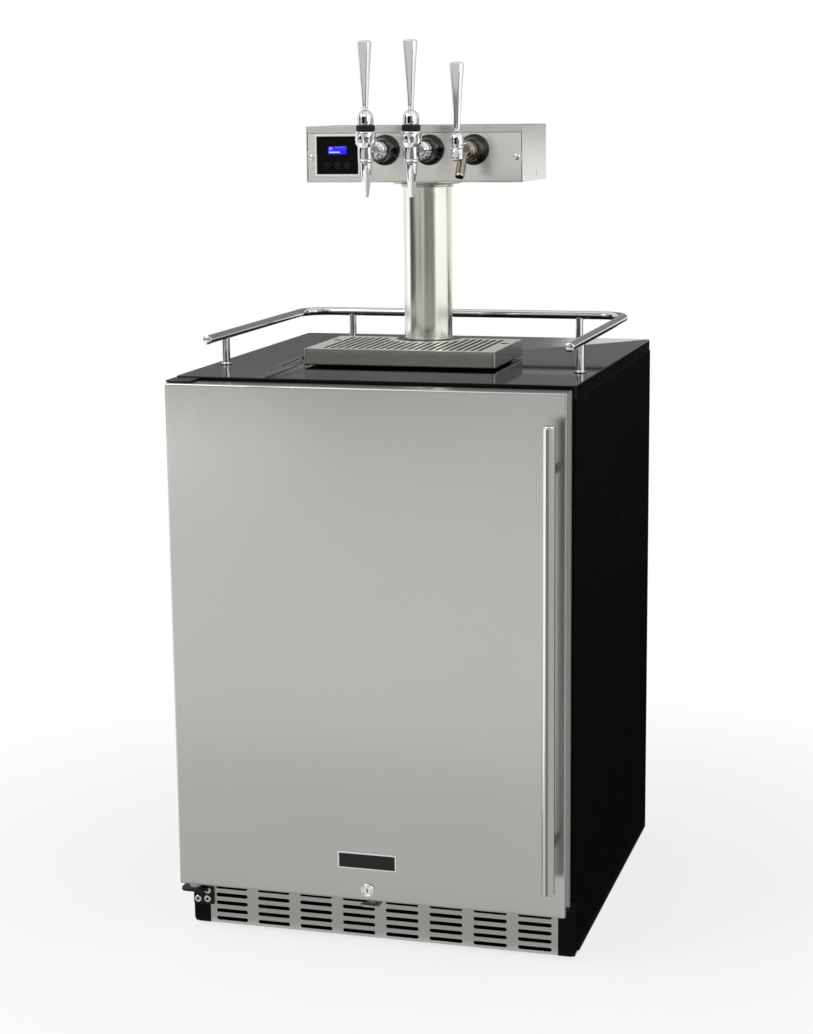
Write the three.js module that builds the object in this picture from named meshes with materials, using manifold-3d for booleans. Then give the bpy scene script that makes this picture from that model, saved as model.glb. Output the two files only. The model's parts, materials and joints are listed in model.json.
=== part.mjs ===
// Undercounter cold brew dispenser: an insulated cabinet with a hinged door, a guard rail and a
// drip tray on its top, and a column that carries a head with a control display and three taps.
// Millimetres, +Z up. X = 0 is the middle of the cabinet, Z = 0 is the floor, the door faces -Y,
// and Y = 0 is halfway between the door handle and the back panel.

import * as THREE from 'three';
import { mergeVertices } from 'three/addons/utils/BufferGeometryUtils.js';
import Module from 'manifold-3d';

const wasm = await Module();
wasm.setup();

// Driving dimensions of the whole object
const cabinetWidth = 605;
const cabinetDepth = 625;
const cabinetHeight = 857;
const footRise = 6;
const towerRise = 274.6;
const towerSetback = 322;
const seat = 0.3;
const overrun = 2;
const weld = 0.0001;

// Driving dimensions of the cabinet's sheet metal and insulation
const panelSheet = 1.5;
const flangeWidth = 22;
const topSheet = 4;
const skirtHeight = 18;
const topCornerRadius = 8;
const kickSetback = 14;
const cornerWidth = 26.5;
const cornerDepth = 26;
const cornerRounding = 7;
const panSheet = 2;
const railDrop = 26;
const tubRise = 88;
const sideWall = 45;
const backWall = 50;
const ceilingWall = 45;
const floorRise = 130;
const humpWall = 35;
const machineDepth = 172;
const machineHeight = 250;
const lineHoleRadius = 30;

// Driving dimensions of the kick grille
const grilleSheet = 1.5;
const grilleLow = 1;
const grilleHigh = 68;
const grilleColumns = 8;
const grilleRows = 5;
const grilleRib = 17.34;
const grilleSideMargin = 9.81;
const grillePitchZ = 12.7;
const grilleFirstRow = 7.8;
const grilleSlotHeight = 5.6;

// Driving dimensions of the door
const doorSideGap = 3;
const doorRise = 84;
const doorTopGap = 4.5;
const doorStandOff = 10;
const doorThickness = 40;
const doorEdgeRadius = 3;
const skinSheet = 1.2;
const linerSheet = 2;
const dykeWidth = 14;
const dykeReach = 8;
const dykeClearance = 11.5;
const gasketWidth = 12;
const gasketClearance = 11.5;
const gasketLowMargin = 16;
const gasketTopMargin = 10;

// Driving dimensions of the door's handle, badge plate and lock
const barRadius = 9.5;
const barLength = 679;
const barStandOff = 44;
const barInset = 16;
const barMidRise = 474;
const postSpacing = 545;
const postRadius = 6;
const badgeWidth = 91;
const badgeHeight = 26;
const badgeThickness = 1.6;
const badgeRim = 2.5;
const badgeRecess = 0.5;
const badgeRise = 145.5;
const lockRise = 100.7;
const lockRadius = 7;
const lockFlangeRadius = 10.4;
const lockFlangeThickness = 3;
const lockLength = 25;
const keySlotWidth = 2;
const keySlotHeight = 7;
const keySlotDepth = 8;

// Driving dimensions of the hinges and the lock's keeper
const pinInset = 16.5;
const pinSetback = 28;
const pinRadius = 4;
const pinEngagement = 22;
const hingeMargin = 0.3;
const hingePlate = 3;
const hingeTongueThickness = 4;
const hingeTongueReach = 17;
const hingeTongueWidth = 40;
const hingeTipRadius = 10;
const hingePlateWidth = 33;
const hingePlateLow = 30;
const hingeTongueRise = 70;
const hingeWasherRadius = 8;
const hingeLegSheet = 2;
const hingeLegWidth = 17;
const hingeLegDrop = 60;
const upperTongueThickness = 2.6;
const keeperWidth = 28;
const keeperSheet = 3;
const keeperRise = 72;
const keeperReach = 46;
const keeperLegHeight = 17;
const keeperLegDrop = 3;
const keeperTipRadius = 6;
const keeperSlotLength = 12;
const keeperSlotWidth = 5;
const keeperSlotInset = 16;

// Driving dimensions of the levelling feet
const footDiscRadius = 18;
const footStemRadius = 5;
const footStemHeight = 34;
const footInsetX = 34;
const footInsetFront = 78;
const footInsetBack = 48;

// Driving dimensions of the cooling unit
const compressorRadius = 62;
const compressorHeight = 152;
const compressorLift = 14;
const compressorDomeShare = 1 / 3;
const compressorShoulderShare = 1 / 4;
const compressorBaseWidth = 150;
const compressorBaseDepth = 112;
const compressorBaseSheet = 3;
const compressorFootRadius = 8;
const terminalBoxWidth = 46;
const terminalBoxDepth = 18;
const terminalBoxHeight = 52;
const condenserSideGap = 52.5;
const condenserWidth = 210;
const condenserDepth = 38;
const condenserHeight = 190;
const condenserFront = 10;
const finGroove = 3;
const finGrooveDepth = 6;
const finCount = 9;
const fanRadius = 80;
const fanHubRadius = 20;
const fanHubLength = 22;
const fanBladeCount = 5;
const fanBladeThickness = 2;
const fanBladeChord = 34;
const fanBladePitch = 28;
const fanGap = 6;
const motorRadius = 28;
const motorLength = 20;
const motorShaftRadius = 3;
const motorStrut = 6;
const motorStrutHeight = 16;
const evaporatorSideGap = 67.5;
const evaporatorHeight = 165;
const evaporatorDepth = 46;
const evaporatorSheet = 2;
const evaporatorDrop = 14;
const evaporatorSlots = 6;
const evaporatorSlotWidth = 6;
const evaporatorSlotHeight = 46;
const evaporatorSlotPitch = 20;
const evaporatorSlotRise = 30;
const evaporatorFanHole = 42;
const coverSlots = 5;
const coverSlotLength = 120;
const coverSlotHeight = 5;
const coverSlotPitch = 16;
const coverSlotLow = 60;
const coverGroupSpacing = 260;
const inletWidth = 28;
const inletHeight = 20;
const inletDepth = 24;
const inletWall = 2.5;
const inletRecess = 17;
const inletPinWidth = 2;
const inletPinHeight = 6;
const inletPinSpacing = 7;
const inletPinLength = 12;
const inletInset = 40.5;
const inletRise = 40;

// Driving dimensions of the guard rail
const railInset = 24.5;
const railFront = 71;
const railBack = 549;
const railHeight = 46;
const railRadius = 6.8;
const railBend = 46;
const railPostRadius = 6.2;
const railPostFootRadius = 8;
const railPostFootHeight = 2;
const railSidePost = 151.5;
const railBackPostInset = 81.5;

// Driving dimensions of the drip tray and its grid
const trayWidth = 300;
const trayDepth = 186;
const trayFront = 146;
const trayLift = 6;
const trayHeight = 22;
const trayWall = 1.5;
const trayLedge = 5;
const trayCorner = 4;
const trayInnerCorner = 1;
const trayNotchRadius = 50;
const trayFootRadius = 10;
const trayFootInset = 22;
const gridSheet = 1.5;
const gridSlotPitch = 11;
const gridSlotWidth = 4.5;
const gridSideMargin = 27;
const gridEndMargin = 11;
const gridHoleRadius = 6;
const gridHoleInset = 15;
const gridHoleFromBack = 62;

// Driving dimensions of the column and the head
const columnRadius = 38.1;
const columnWall = 1.5;
const columnFlangeRadius = 47;
const columnFlangeThickness = 4;
const collarRadius = 54;
const collarThickness = 4;
const collarBore = 33;
const collarSkirt = 5;
const collarSkirtWall = 2.8;
const headWidth = 342;
const headDepth = 164;
const headHeight = 85.2;
const headSetback = 82;
const headSheet = 1.5;
const headLip = 10.5;
const headTab = 10;
const headTabHeight = 20;
const headScrewInset = 9;
const headScrewRadius = 3.4;
const headScrewHeight = 1.4;
const headSideSlotWidth = 3;
const headSideSlotHeight = 8;
const headSideSlotInset = 70;
const headSideSlotRise = 7;
const headUnderSlotLength = 9;
const headUnderSlotWidth = 4;
const headUnderSlotX = 140;
const headUnderSlotSpacing = 26;
const headUnderSlotInset = 14;

// Driving dimensions of the display
const displayX = -120.5;
const displayMidRise = 41.2;
const fasciaWidth = 66;
const fasciaHeight = 57;
const fasciaProud = 1.2;
const fasciaDepth = 20;
const bezelBorder = 3;
const bezelThickness = 1.5;
const keyRadius = 5.2;
const keyThickness = 1.6;
const keyProud = 0.2;
const keyTravel = 0.8;
const keyPitch = 15.8;
const keyDrop = 15;
const keyFloorGap = 0.4;

// Driving dimensions of the taps
const firstTapX = -44.5;
const tapPitch = 70;
const tapMidRise = 49;
const tapReach = 100;
const shankRadius = 10.5;
const shankBore = 3;
const shankTail = 45;
const shankFront = 44;
const shankNutRadius = 16;
const shankNutThickness = 6;
const bellRadius = 23.3;
const bellRim = 4;
const bellNoseRadius = 13.8;
const bellLength = 30;
const couplingRadius = 13.5;
const couplingLength = 20;
const couplingChamfer = 2.5;
const barrelRadius = 9;
const lowerBodyRadius = 10.5;
const lowerBodyDrop = 16;
const mainBodyLow = 6;
const mainBodyHigh = 29;
const mainBodyRadius = 15.2;
const mainBodyChamfer = 3;
const neckRadius = 10;
const capRingRadius = 14;
const capRingHeight = 10;
const bonnetRadius = 12;
const bonnetHeight = 10;
const nozzleTopRadius = 8.3;
const nozzleWaistRadius = 7;
const nozzleWaistDrop = 12;
const nozzleTipRadius = 3.2;
const nozzleLength = 51;
const nozzleBore = 2;
const plainHousingRadius = 9;
const plainHousingDrop = 15;
const plainHousingHigh = 8;
const plainBonnetRadius = 9.8;
const spoutRadius = 6.4;
const spoutBore = 4;
const spoutRootSetback = 36;
const spoutRootDrop = 3;
const spoutTipSetback = 13;
const spoutTipDrop = 38;
const leverSlotWidth = 4.6;
const leverTongueThickness = 4;
const leverTongueRadius = 8;
const leverPinRadius = 1.8;
const leverPinMargin = 2.5;
const handleLength = 100;
const handleRootWidth = 9.5;
const handleTopWidth = 17.5;
const handleTopDepth = 15.5;
const handleCrown = 3;
const handleRings = 5;
const handleSwellShare = 1.3;
const handleFootSquareShare = 2;
const handleTopSquareShare = 5;
const handleCrownShare = 2 / 3;

// Driving dimensions of the beverage lines that the column and the head hold
const trunkHeadRise = 14;
const hoseRadius = 5;
const hoseSpread = 12;
const hoseStraight = 8;

// Counts of flat sides on round pieces
const sidesLarge = 24;
const sidesMedium = 16;
const sidesSmall = 12;
const sidesTiny = 8;
const sidesOfNut = 6;
const arcSteps = 2;

// Finishes
function finish(color, roughness, metalness) {
  return new THREE.MeshStandardMaterial({ color, roughness, metalness, flatShading: true });
}
const brushedSteel = () => finish(0xaaa8a6, 0.35, 1);
const polishedSteel = () => finish(0xd4d6d6, 0.12, 1);
const blackPaint = () => finish(0x0b0b0a, 0.35, 0);
const blackGloss = () => finish(0x060606, 0.06, 0);
const blackPlastic = () => finish(0x101010, 0.45, 0);
const palePlastic = () => finish(0xdedede, 0.4, 0);
const whiteLiner = () => finish(0xe6e8e8, 0.4, 0);
const foamCore = () => finish(0xd9cfa2, 0.9, 0);
const zincSteel = () => finish(0x8f9190, 0.45, 1);
const greyRubber = () => finish(0x2c2d2e, 0.8, 0);

// Boolean work on closed meshes
function solidOf(geometry) {
  const bare = geometry.clone();
  bare.deleteAttribute('normal');
  bare.deleteAttribute('uv');
  const merged = mergeVertices(bare, weld);
  const corners = merged.index.array;
  const faces = [];
  for (let i = 0; i < corners.length; i += 3) {
    const [a, b, c] = [corners[i], corners[i + 1], corners[i + 2]];
    if (a !== b && b !== c && c !== a) faces.push(a, b, c);
  }
  const vertProperties = Float32Array.from(merged.attributes.position.array);
  const triVerts = Uint32Array.from(faces);
  return new wasm.Manifold(new wasm.Mesh({ numProp: 3, vertProperties, triVerts }));
}
function geometryOf(solid) {
  const mesh = solid.getMesh();
  const geometry = new THREE.BufferGeometry();
  geometry.setAttribute('position', new THREE.BufferAttribute(mesh.vertProperties, 3));
  geometry.setIndex(new THREE.BufferAttribute(mesh.triVerts, 1));
  return geometry;
}
function joined(first, ...others) {
  return geometryOf(others.reduce((sum, other) => sum.add(solidOf(other)), solidOf(first)));
}
function cut(first, ...others) {
  return geometryOf(others.reduce((rest, other) => rest.subtract(solidOf(other)), solidOf(first)));
}

// Basic forms, placed in the object's frame
function block(x0, x1, y0, y1, z0, z1) {
  const geometry = new THREE.BoxGeometry(x1 - x0, y1 - y0, z1 - z0);
  return geometry.translate((x0 + x1) / 2, (y0 + y1) / 2, (z0 + z1) / 2);
}
function rodZ(radius, x, y, z0, z1, sides = sidesMedium) {
  const geometry = new THREE.CylinderGeometry(radius, radius, z1 - z0, sides);
  return geometry.rotateX(Math.PI / 2).translate(x, y, (z0 + z1) / 2);
}
function rodY(radius, x, z, y0, y1, sides = sidesMedium) {
  const geometry = new THREE.CylinderGeometry(radius, radius, y1 - y0, sides);
  return geometry.translate(x, (y0 + y1) / 2, z);
}
function rodX(radius, y, z, x0, x1, sides = sidesMedium) {
  const geometry = new THREE.CylinderGeometry(radius, radius, x1 - x0, sides);
  return geometry.rotateZ(Math.PI / 2).translate((x0 + x1) / 2, y, z);
}
// A profile of [radius, height] pairs turned about the vertical line through x, y
function turnedZ(profile, x, y, z, sides = sidesMedium) {
  const points = profile.map(([radius, height]) => new THREE.Vector2(radius, height));
  return new THREE.LatheGeometry(points, sides).rotateX(Math.PI / 2).translate(x, y, z);
}
// A profile of [radius, distance forward] pairs turned about a line that runs along -Y
function turnedForward(profile, x, y, z, sides = sidesMedium) {
  const points = profile.map(([radius, forward]) => new THREE.Vector2(radius, forward));
  return new THREE.LatheGeometry(points, sides).rotateX(Math.PI).translate(x, y, z);
}
// An outline in X and Y, raised from z0 to z1
function flatPiece(shape, z0, z1, curveSegments = arcSteps) {
  const options = { depth: z1 - z0, bevelEnabled: false, curveSegments };
  return new THREE.ExtrudeGeometry(shape, options).translate(0, 0, z0);
}
// An outline in X and Z, carried back from y0 to y1
function uprightPiece(shape, y0, y1, curveSegments = arcSteps) {
  const options = { depth: y1 - y0, bevelEnabled: false, curveSegments };
  return new THREE.ExtrudeGeometry(shape, options).rotateX(Math.PI / 2).translate(0, y1, 0);
}
function rectangle(x0, x1, y0, y1) {
  const shape = new THREE.Shape();
  shape.moveTo(x0, y0);
  shape.lineTo(x1, y0);
  shape.lineTo(x1, y1);
  shape.lineTo(x0, y1);
  shape.closePath();
  return shape;
}
function roundedRectangle(x0, x1, y0, y1, radius) {
  const shape = new THREE.Shape();
  shape.absarc(x1 - radius, y0 + radius, radius, -Math.PI / 2, 0);
  shape.absarc(x1 - radius, y1 - radius, radius, 0, Math.PI / 2);
  shape.absarc(x0 + radius, y1 - radius, radius, Math.PI / 2, Math.PI);
  shape.absarc(x0 + radius, y0 + radius, radius, Math.PI, Math.PI * 1.5);
  shape.closePath();
  return shape;
}
function roundHole(x, y, radius, sides) {
  const path = new THREE.Path();
  for (let i = 0; i < sides; i += 1) {
    const angle = (2 * Math.PI * i) / sides;
    const [u, v] = [x + radius * Math.cos(angle), y + radius * Math.sin(angle)];
    if (i === 0) path.moveTo(u, v);
    else path.lineTo(u, v);
  }
  path.closePath();
  return path;
}
// A slot with round ends along the first axis of an outline
function slotAcross(x, y, length, height) {
  const radius = height / 2;
  const reach = length / 2 - radius;
  const path = new THREE.Path();
  path.absarc(x + reach, y, radius, -Math.PI / 2, Math.PI / 2);
  path.absarc(x - reach, y, radius, Math.PI / 2, Math.PI * 1.5);
  path.closePath();
  return path;
}
// A slot with round ends along the second axis of an outline
function slotAlong(x, y0, y1, width) {
  const radius = width / 2;
  const path = new THREE.Path();
  path.absarc(x, y1 - radius, radius, 0, Math.PI);
  path.absarc(x, y0 + radius, radius, Math.PI, Math.PI * 2);
  path.closePath();
  return path;
}
// A bent line whose rings sit exactly on the points given
class Route extends THREE.Curve {
  constructor(points) {
    super();
    this.points = points;
  }
  getPoint(t, target = new THREE.Vector3()) {
    const last = this.points.length - 1;
    const place = Math.min(t, 1) * last;
    const index = Math.min(Math.floor(place), last - 1);
    return target.lerpVectors(this.points[index], this.points[index + 1], place - index);
  }
  getPointAt(u, target) {
    return this.getPoint(u, target);
  }
  getTangentAt(u, target = new THREE.Vector3()) {
    const last = this.points.length - 1;
    const index = Math.round(u * last);
    const before = this.points[Math.max(index - 1, 0)];
    const after = this.points[Math.min(index + 1, last)];
    return target.subVectors(after, before).normalize();
  }
}
function tubeAlong(points, radius, sides) {
  const section = new THREE.Shape();
  for (let i = 0; i < sides; i += 1) {
    const angle = (2 * Math.PI * i) / sides;
    const [u, v] = [radius * Math.cos(angle), radius * Math.sin(angle)];
    if (i === 0) section.moveTo(u, v);
    else section.lineTo(u, v);
  }
  section.closePath();
  const options = { steps: points.length - 1, extrudePath: new Route(points), bevelEnabled: false };
  return new THREE.ExtrudeGeometry(section, options);
}

// Planes and places that several pieces share
const halfWidth = cabinetWidth / 2;
const frontReach = doorStandOff + doorThickness + barStandOff + barRadius;
const frontY = (frontReach - cabinetDepth) / 2;
const backY = frontY + cabinetDepth;
const baseZ = footRise;
const topZ = baseZ + cabinetHeight;
const skirtZ = topZ - skirtHeight;
const insideX = halfWidth - panelSheet - seat;
const kickY = frontY + kickSetback;
const cornerTopZ = baseZ + tubRise - seat;
const kickRailY = kickY + grilleSheet + seat;
const machineFrontY = backY - machineDepth;
const machineTopZ = baseZ + machineHeight;
const panTopZ = baseZ + panSheet;
const cavityX = halfWidth - sideWall;
const cavityBackY = backY - backWall;
const cavityFloorZ = baseZ + floorRise;
const cavityCeilingZ = topZ - ceilingWall;
const doorHalf = halfWidth - doorSideGap;
const doorBackY = frontY - doorStandOff;
const doorFrontY = doorBackY - doorThickness;
const doorLowZ = baseZ + doorRise;
const doorTopZ = topZ - doorTopGap;
const pinX = pinInset - doorHalf;
const pinY = frontY - pinSetback;
const towerY = frontY + towerSetback;
const headZ = topZ + towerRise;
const headFrontY = towerY - headSetback;
const headBackY = headFrontY + headDepth;
const headTopZ = headZ + headHeight;
const headHalf = headWidth / 2;
const tapZ = headZ + tapMidRise;
const tapY = headFrontY - tapReach;
const displayZ = headZ + displayMidRise;
const trayFrontY = frontY + trayFront;
const trayBackY = trayFrontY + trayDepth;
const trayLowZ = topZ + trayLift;
const trayTopZ = trayLowZ + trayHeight;
const inletX = halfWidth - inletInset;
const railHalfWidth = halfWidth - railInset;
const backPostX = railHalfWidth - railBackPostInset;
const footPlaces = [-1, 1].flatMap((side) => [
  [side * (halfWidth - footInsetX), frontY + footInsetFront],
  [side * (halfWidth - footInsetX), backY - footInsetBack],
]);

const dispenser = new THREE.Group();
function add(name, geometry, material) {
  const mesh = new THREE.Mesh(geometry, material);
  mesh.name = name;
  dispenser.add(mesh);
}

// Cabinet shell
function sidePanel(side) {
  const edge = side * halfWidth;
  const inner = side * (halfWidth - panelSheet);
  const flange = side * (halfWidth - flangeWidth);
  const [x0, x1] = [Math.min(edge, inner), Math.max(edge, inner)];
  const [f0, f1] = [Math.min(edge, flange), Math.max(edge, flange)];
  const topEdge = skirtZ - seat;
  const notchY = kickY + cornerDepth + seat;
  const notchZ = cornerTopZ + seat;
  const wall = block(x0, x1, frontY, backY, baseZ, topEdge);
  const notch = block(x0 - overrun, x1 + overrun, frontY - overrun, notchY, baseZ - overrun, notchZ);
  const frontFlange = block(f0, f1, frontY, frontY + panelSheet, notchZ, topEdge);
  return joined(cut(wall, notch), frontFlange);
}
function backPanel() {
  return block(-insideX, insideX, backY - panelSheet, backY, machineTopZ + seat, skirtZ - seat);
}
function machineCover() {
  const [y0, y1] = [backY - panelSheet - overrun, backY + overrun];
  const slots = [];
  for (let row = 0; row < coverSlots; row += 1) {
    for (const side of [-1, 1]) {
      const middle = (side * coverGroupSpacing) / 2;
      const low = baseZ + coverSlotLow + row * coverSlotPitch;
      const [x0, x1] = [middle - coverSlotLength / 2, middle + coverSlotLength / 2];
      slots.push(block(x0, x1, y0, y1, low, low + coverSlotHeight));
    }
  }
  const inletZ = baseZ + inletRise;
  const [reachX, reachZ] = [inletWidth / 2 + seat, inletHeight / 2 + seat];
  const inletHole = block(inletX - reachX, inletX + reachX, y0, y1, inletZ - reachZ, inletZ + reachZ);
  const plate = block(-insideX, insideX, backY - panelSheet, backY, panTopZ + seat, machineTopZ);
  return cut(plate, inletHole, ...slots);
}
function topPanel() {
  const outline = () => roundedRectangle(-halfWidth, halfWidth, frontY, backY, topCornerRadius);
  const skirt = outline();
  const inset = panelSheet;
  const innerRadius = topCornerRadius - inset;
  const innerX = halfWidth - inset;
  skirt.holes.push(roundedRectangle(-innerX, innerX, frontY + inset, backY - inset, innerRadius));
  const plate = flatPiece(outline(), topZ - topSheet, topZ);
  const pan = joined(plate, flatPiece(skirt, skirtZ, topZ - topSheet + seat));
  return cut(pan, rodZ(lineHoleRadius, 0, towerY, skirtZ, topZ + overrun, sidesLarge));
}
function basePan() {
  const postInner = halfWidth - cornerWidth;
  const floorBackY = backY - panelSheet - seat;
  const floor = block(-insideX, insideX, kickRailY, floorBackY, baseZ, panTopZ);
  const rail = block(-halfWidth + seat, halfWidth - seat, kickRailY, kickY + cornerDepth,
    cornerTopZ - railDrop, cornerTopZ);
  const posts = [-1, 1].map((side) => {
    const shape = new THREE.Shape();
    shape.moveTo(side * postInner, baseZ);
    shape.lineTo(side * (halfWidth - cornerRounding), baseZ);
    shape.quadraticCurveTo(side * halfWidth, baseZ, side * halfWidth, baseZ + cornerRounding);
    shape.lineTo(side * halfWidth, cornerTopZ);
    shape.lineTo(side * postInner, cornerTopZ);
    shape.closePath();
    return uprightPiece(shape, kickY, kickY + cornerDepth);
  });
  const holes = footPlaces.map(([x, y]) => {
    return rodZ(footStemRadius + seat, x, y, baseZ - overrun, panTopZ + overrun, sidesSmall);
  });
  return cut(joined(floor, rail, ...posts), ...holes);
}
function linerTub() {
  const lipX = halfWidth - flangeWidth - seat;
  const tubFrontY = frontY + panelSheet + seat;
  const tubBackY = backY - panelSheet - seat;
  const tubLowZ = baseZ + tubRise;
  const skirtInset = topCornerRadius;
  const body = block(-insideX, insideX, tubFrontY, tubBackY, tubLowZ, skirtZ - seat);
  const lip = block(-lipX, lipX, frontY, tubFrontY + seat, tubLowZ, skirtZ - seat);
  const cap = block(-halfWidth + skirtInset, halfWidth - skirtInset, frontY + skirtInset,
    backY - skirtInset, skirtZ - skirtInset, topZ - topSheet - seat);
  const machineSpace = block(-halfWidth, halfWidth, machineFrontY, backY, baseZ, machineTopZ);
  const cavity = cut(
    block(-cavityX, cavityX, frontY - overrun, cavityBackY, cavityFloorZ, cavityCeilingZ),
    block(-halfWidth, halfWidth, machineFrontY - humpWall, backY, baseZ, machineTopZ + humpWall),
  );
  const lineHole = rodZ(lineHoleRadius, 0, towerY, cavityCeilingZ - overrun, topZ, sidesLarge);
  return cut(joined(body, lip, cap), machineSpace, cavity, lineHole);
}
function kickGrille() {
  const edge = halfWidth - cornerWidth - seat;
  const shape = rectangle(-edge, edge, baseZ + grilleLow, baseZ + grilleHigh);
  const pitchX = (2 * (edge - grilleSideMargin) + grilleRib) / grilleColumns;
  for (let column = 0; column < grilleColumns; column += 1) {
    for (let row = 0; row < grilleRows; row += 1) {
      const x = (column - (grilleColumns - 1) / 2) * pitchX;
      const z = baseZ + grilleFirstRow + row * grillePitchZ;
      shape.holes.push(slotAcross(x, z, pitchX - grilleRib, grilleSlotHeight));
    }
  }
  return uprightPiece(shape, kickY, kickY + grilleSheet, arcSteps / 2);
}

// Hinges and the lock's keeper
function hingeTongue(frontEdge, backEdge, z0, z1) {
  const left = -halfWidth + hingeMargin;
  const right = left + hingeTongueWidth;
  const shape = new THREE.Shape();
  shape.moveTo(left, backEdge);
  shape.lineTo(left, frontEdge + hingeTipRadius);
  shape.absarc(left + hingeTipRadius, frontEdge + hingeTipRadius, hingeTipRadius, Math.PI, Math.PI * 1.5);
  shape.absarc(right - hingeTipRadius, frontEdge + hingeTipRadius, hingeTipRadius, -Math.PI / 2, 0);
  shape.lineTo(right, backEdge);
  shape.closePath();
  return flatPiece(shape, z0, z1);
}
function lowerHinge() {
  const left = -halfWidth + hingeMargin;
  const tongueZ = baseZ + hingeTongueRise;
  const tongueTopZ = tongueZ + hingeTongueThickness;
  const plateY = kickY - seat;
  const plate = block(left, left + hingePlateWidth, plateY - hingePlate, plateY,
    baseZ + hingePlateLow, tongueTopZ);
  const tongue = hingeTongue(pinY - hingeTongueReach, plateY, tongueZ, tongueTopZ);
  const washer = rodZ(hingeWasherRadius, pinX, pinY, tongueTopZ - seat, doorLowZ - seat);
  const pin = rodZ(pinRadius, pinX, pinY, tongueTopZ - seat, doorLowZ + pinEngagement, sidesSmall);
  return joined(plate, tongue, washer, pin);
}
function upperHinge() {
  const left = -halfWidth + hingeMargin;
  const legY = frontY - seat;
  const tongueZ = doorTopZ + seat;
  const tongueTopZ = tongueZ + upperTongueThickness;
  const leg = block(left, left + hingeLegWidth, legY - hingeLegSheet, legY,
    topZ - hingeLegDrop, tongueTopZ);
  const tongue = hingeTongue(pinY - hingeTongueReach, legY, tongueZ, tongueTopZ);
  const pin = rodZ(pinRadius, pinX, pinY, doorTopZ - pinEngagement, tongueZ + seat, sidesSmall);
  return joined(leg, tongue, pin);
}
function lockKeeper() {
  const half = keeperWidth / 2;
  const tipY = frontY - keeperReach;
  const keeperZ = baseZ + keeperRise;
  const legY = kickY + grilleSheet;
  const shape = new THREE.Shape();
  shape.moveTo(-half, legY);
  shape.absarc(-half + keeperTipRadius, tipY + keeperTipRadius, keeperTipRadius, Math.PI, Math.PI * 1.5);
  shape.absarc(half - keeperTipRadius, tipY + keeperTipRadius, keeperTipRadius, -Math.PI / 2, 0);
  shape.lineTo(half, legY);
  shape.closePath();
  shape.holes.push(slotAcross(0, tipY + keeperSlotInset, keeperSlotLength, keeperSlotWidth));
  const legLowZ = keeperZ - keeperLegDrop;
  const leg = block(-half, half, kickY, legY, legLowZ, legLowZ + keeperLegHeight);
  return joined(flatPiece(shape, keeperZ, keeperZ + keeperSheet), leg);
}

// Cooling unit: the condenser stands near the left side, and the compressor
// midway between it and the right side
const condenserX = condenserSideGap + condenserWidth / 2 - halfWidth;
const compressorX = (condenserX + condenserWidth / 2 + insideX) / 2;
function compressor() {
  const y = (machineFrontY + backY) / 2;
  const lowZ = panTopZ + seat;
  const plateZ = lowZ + compressorLift - compressorBaseSheet;
  const shellZ = plateZ + compressorBaseSheet;
  const seam = compressorBaseSheet;
  const dome = compressorRadius * compressorDomeShare;
  const middle = compressorHeight / 2;
  const shell = turnedZ([
    [0, -seat],
    [compressorRadius - seam * 2, -seat],
    [compressorRadius, dome / 2],
    [compressorRadius, middle - seam],
    [compressorRadius + seam, middle - seam],
    [compressorRadius + seam, middle + seam],
    [compressorRadius, middle + seam],
    [compressorRadius, compressorHeight - dome],
    [compressorRadius - dome / 2, compressorHeight - dome * compressorShoulderShare],
    [compressorRadius / 2, compressorHeight],
    [0, compressorHeight],
  ], compressorX, y, shellZ, sidesSmall);
  const [halfX, halfY] = [compressorBaseWidth / 2, compressorBaseDepth / 2];
  const plate = block(compressorX - halfX, compressorX + halfX, y - halfY, y + halfY, plateZ, shellZ);
  const feet = [-1, 1].flatMap((sx) => [-1, 1].map((sy) => {
    const x = compressorX + sx * (halfX - compressorFootRadius);
    return rodZ(compressorFootRadius, x, y + sy * (halfY - compressorFootRadius), lowZ, shellZ, sidesTiny);
  }));
  const boxX = compressorX - compressorRadius - terminalBoxDepth / 2;
  const terminal = block(boxX - terminalBoxDepth / 2, boxX + terminalBoxDepth, y - terminalBoxWidth / 2,
    y + terminalBoxWidth / 2, shellZ + dome, shellZ + dome + terminalBoxHeight);
  return joined(shell, plate, terminal, ...feet);
}
const condenserFrontY = machineFrontY + condenserFront;
const condenserBackY = condenserFrontY + condenserDepth;
const condenserLowZ = panTopZ + seat;
const fanZ = condenserLowZ + condenserHeight / 2;
const fanFrontY = condenserBackY + fanGap;
const motorY = fanFrontY + fanHubLength + seat;
function condenser() {
  const half = condenserWidth / 2;
  const core = block(condenserX - half, condenserX + half, condenserFrontY, condenserBackY,
    condenserLowZ, condenserLowZ + condenserHeight);
  const grooves = [];
  const step = condenserWidth / (finCount + 1);
  for (let i = 1; i <= finCount; i += 1) {
    const x = condenserX - half + i * step;
    grooves.push(block(x - finGroove / 2, x + finGroove / 2, condenserFrontY - overrun,
      condenserFrontY + finGrooveDepth, condenserLowZ + finGroove * 2,
      condenserLowZ + condenserHeight - finGroove * 2));
  }
  const strutX = fanRadius + fanGap + motorStrut;
  const barY = motorY + motorLength;
  const struts = [-1, 1].map((side) => {
    const middle = condenserX + side * strutX;
    return block(middle - motorStrut / 2, middle + motorStrut / 2, condenserBackY - seat, barY,
      fanZ - motorStrutHeight / 2, fanZ + motorStrutHeight / 2);
  });
  const bar = block(condenserX - strutX, condenserX + strutX, barY - motorStrut, barY,
    fanZ - motorStrutHeight / 2, fanZ + motorStrutHeight / 2);
  const motor = rodY(motorRadius, condenserX, fanZ, motorY, barY);
  const shaft = rodY(motorShaftRadius, condenserX, fanZ, fanFrontY + seat, motorY + seat, sidesTiny);
  return joined(cut(core, ...grooves), ...struts, bar, motor, shaft);
}
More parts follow.
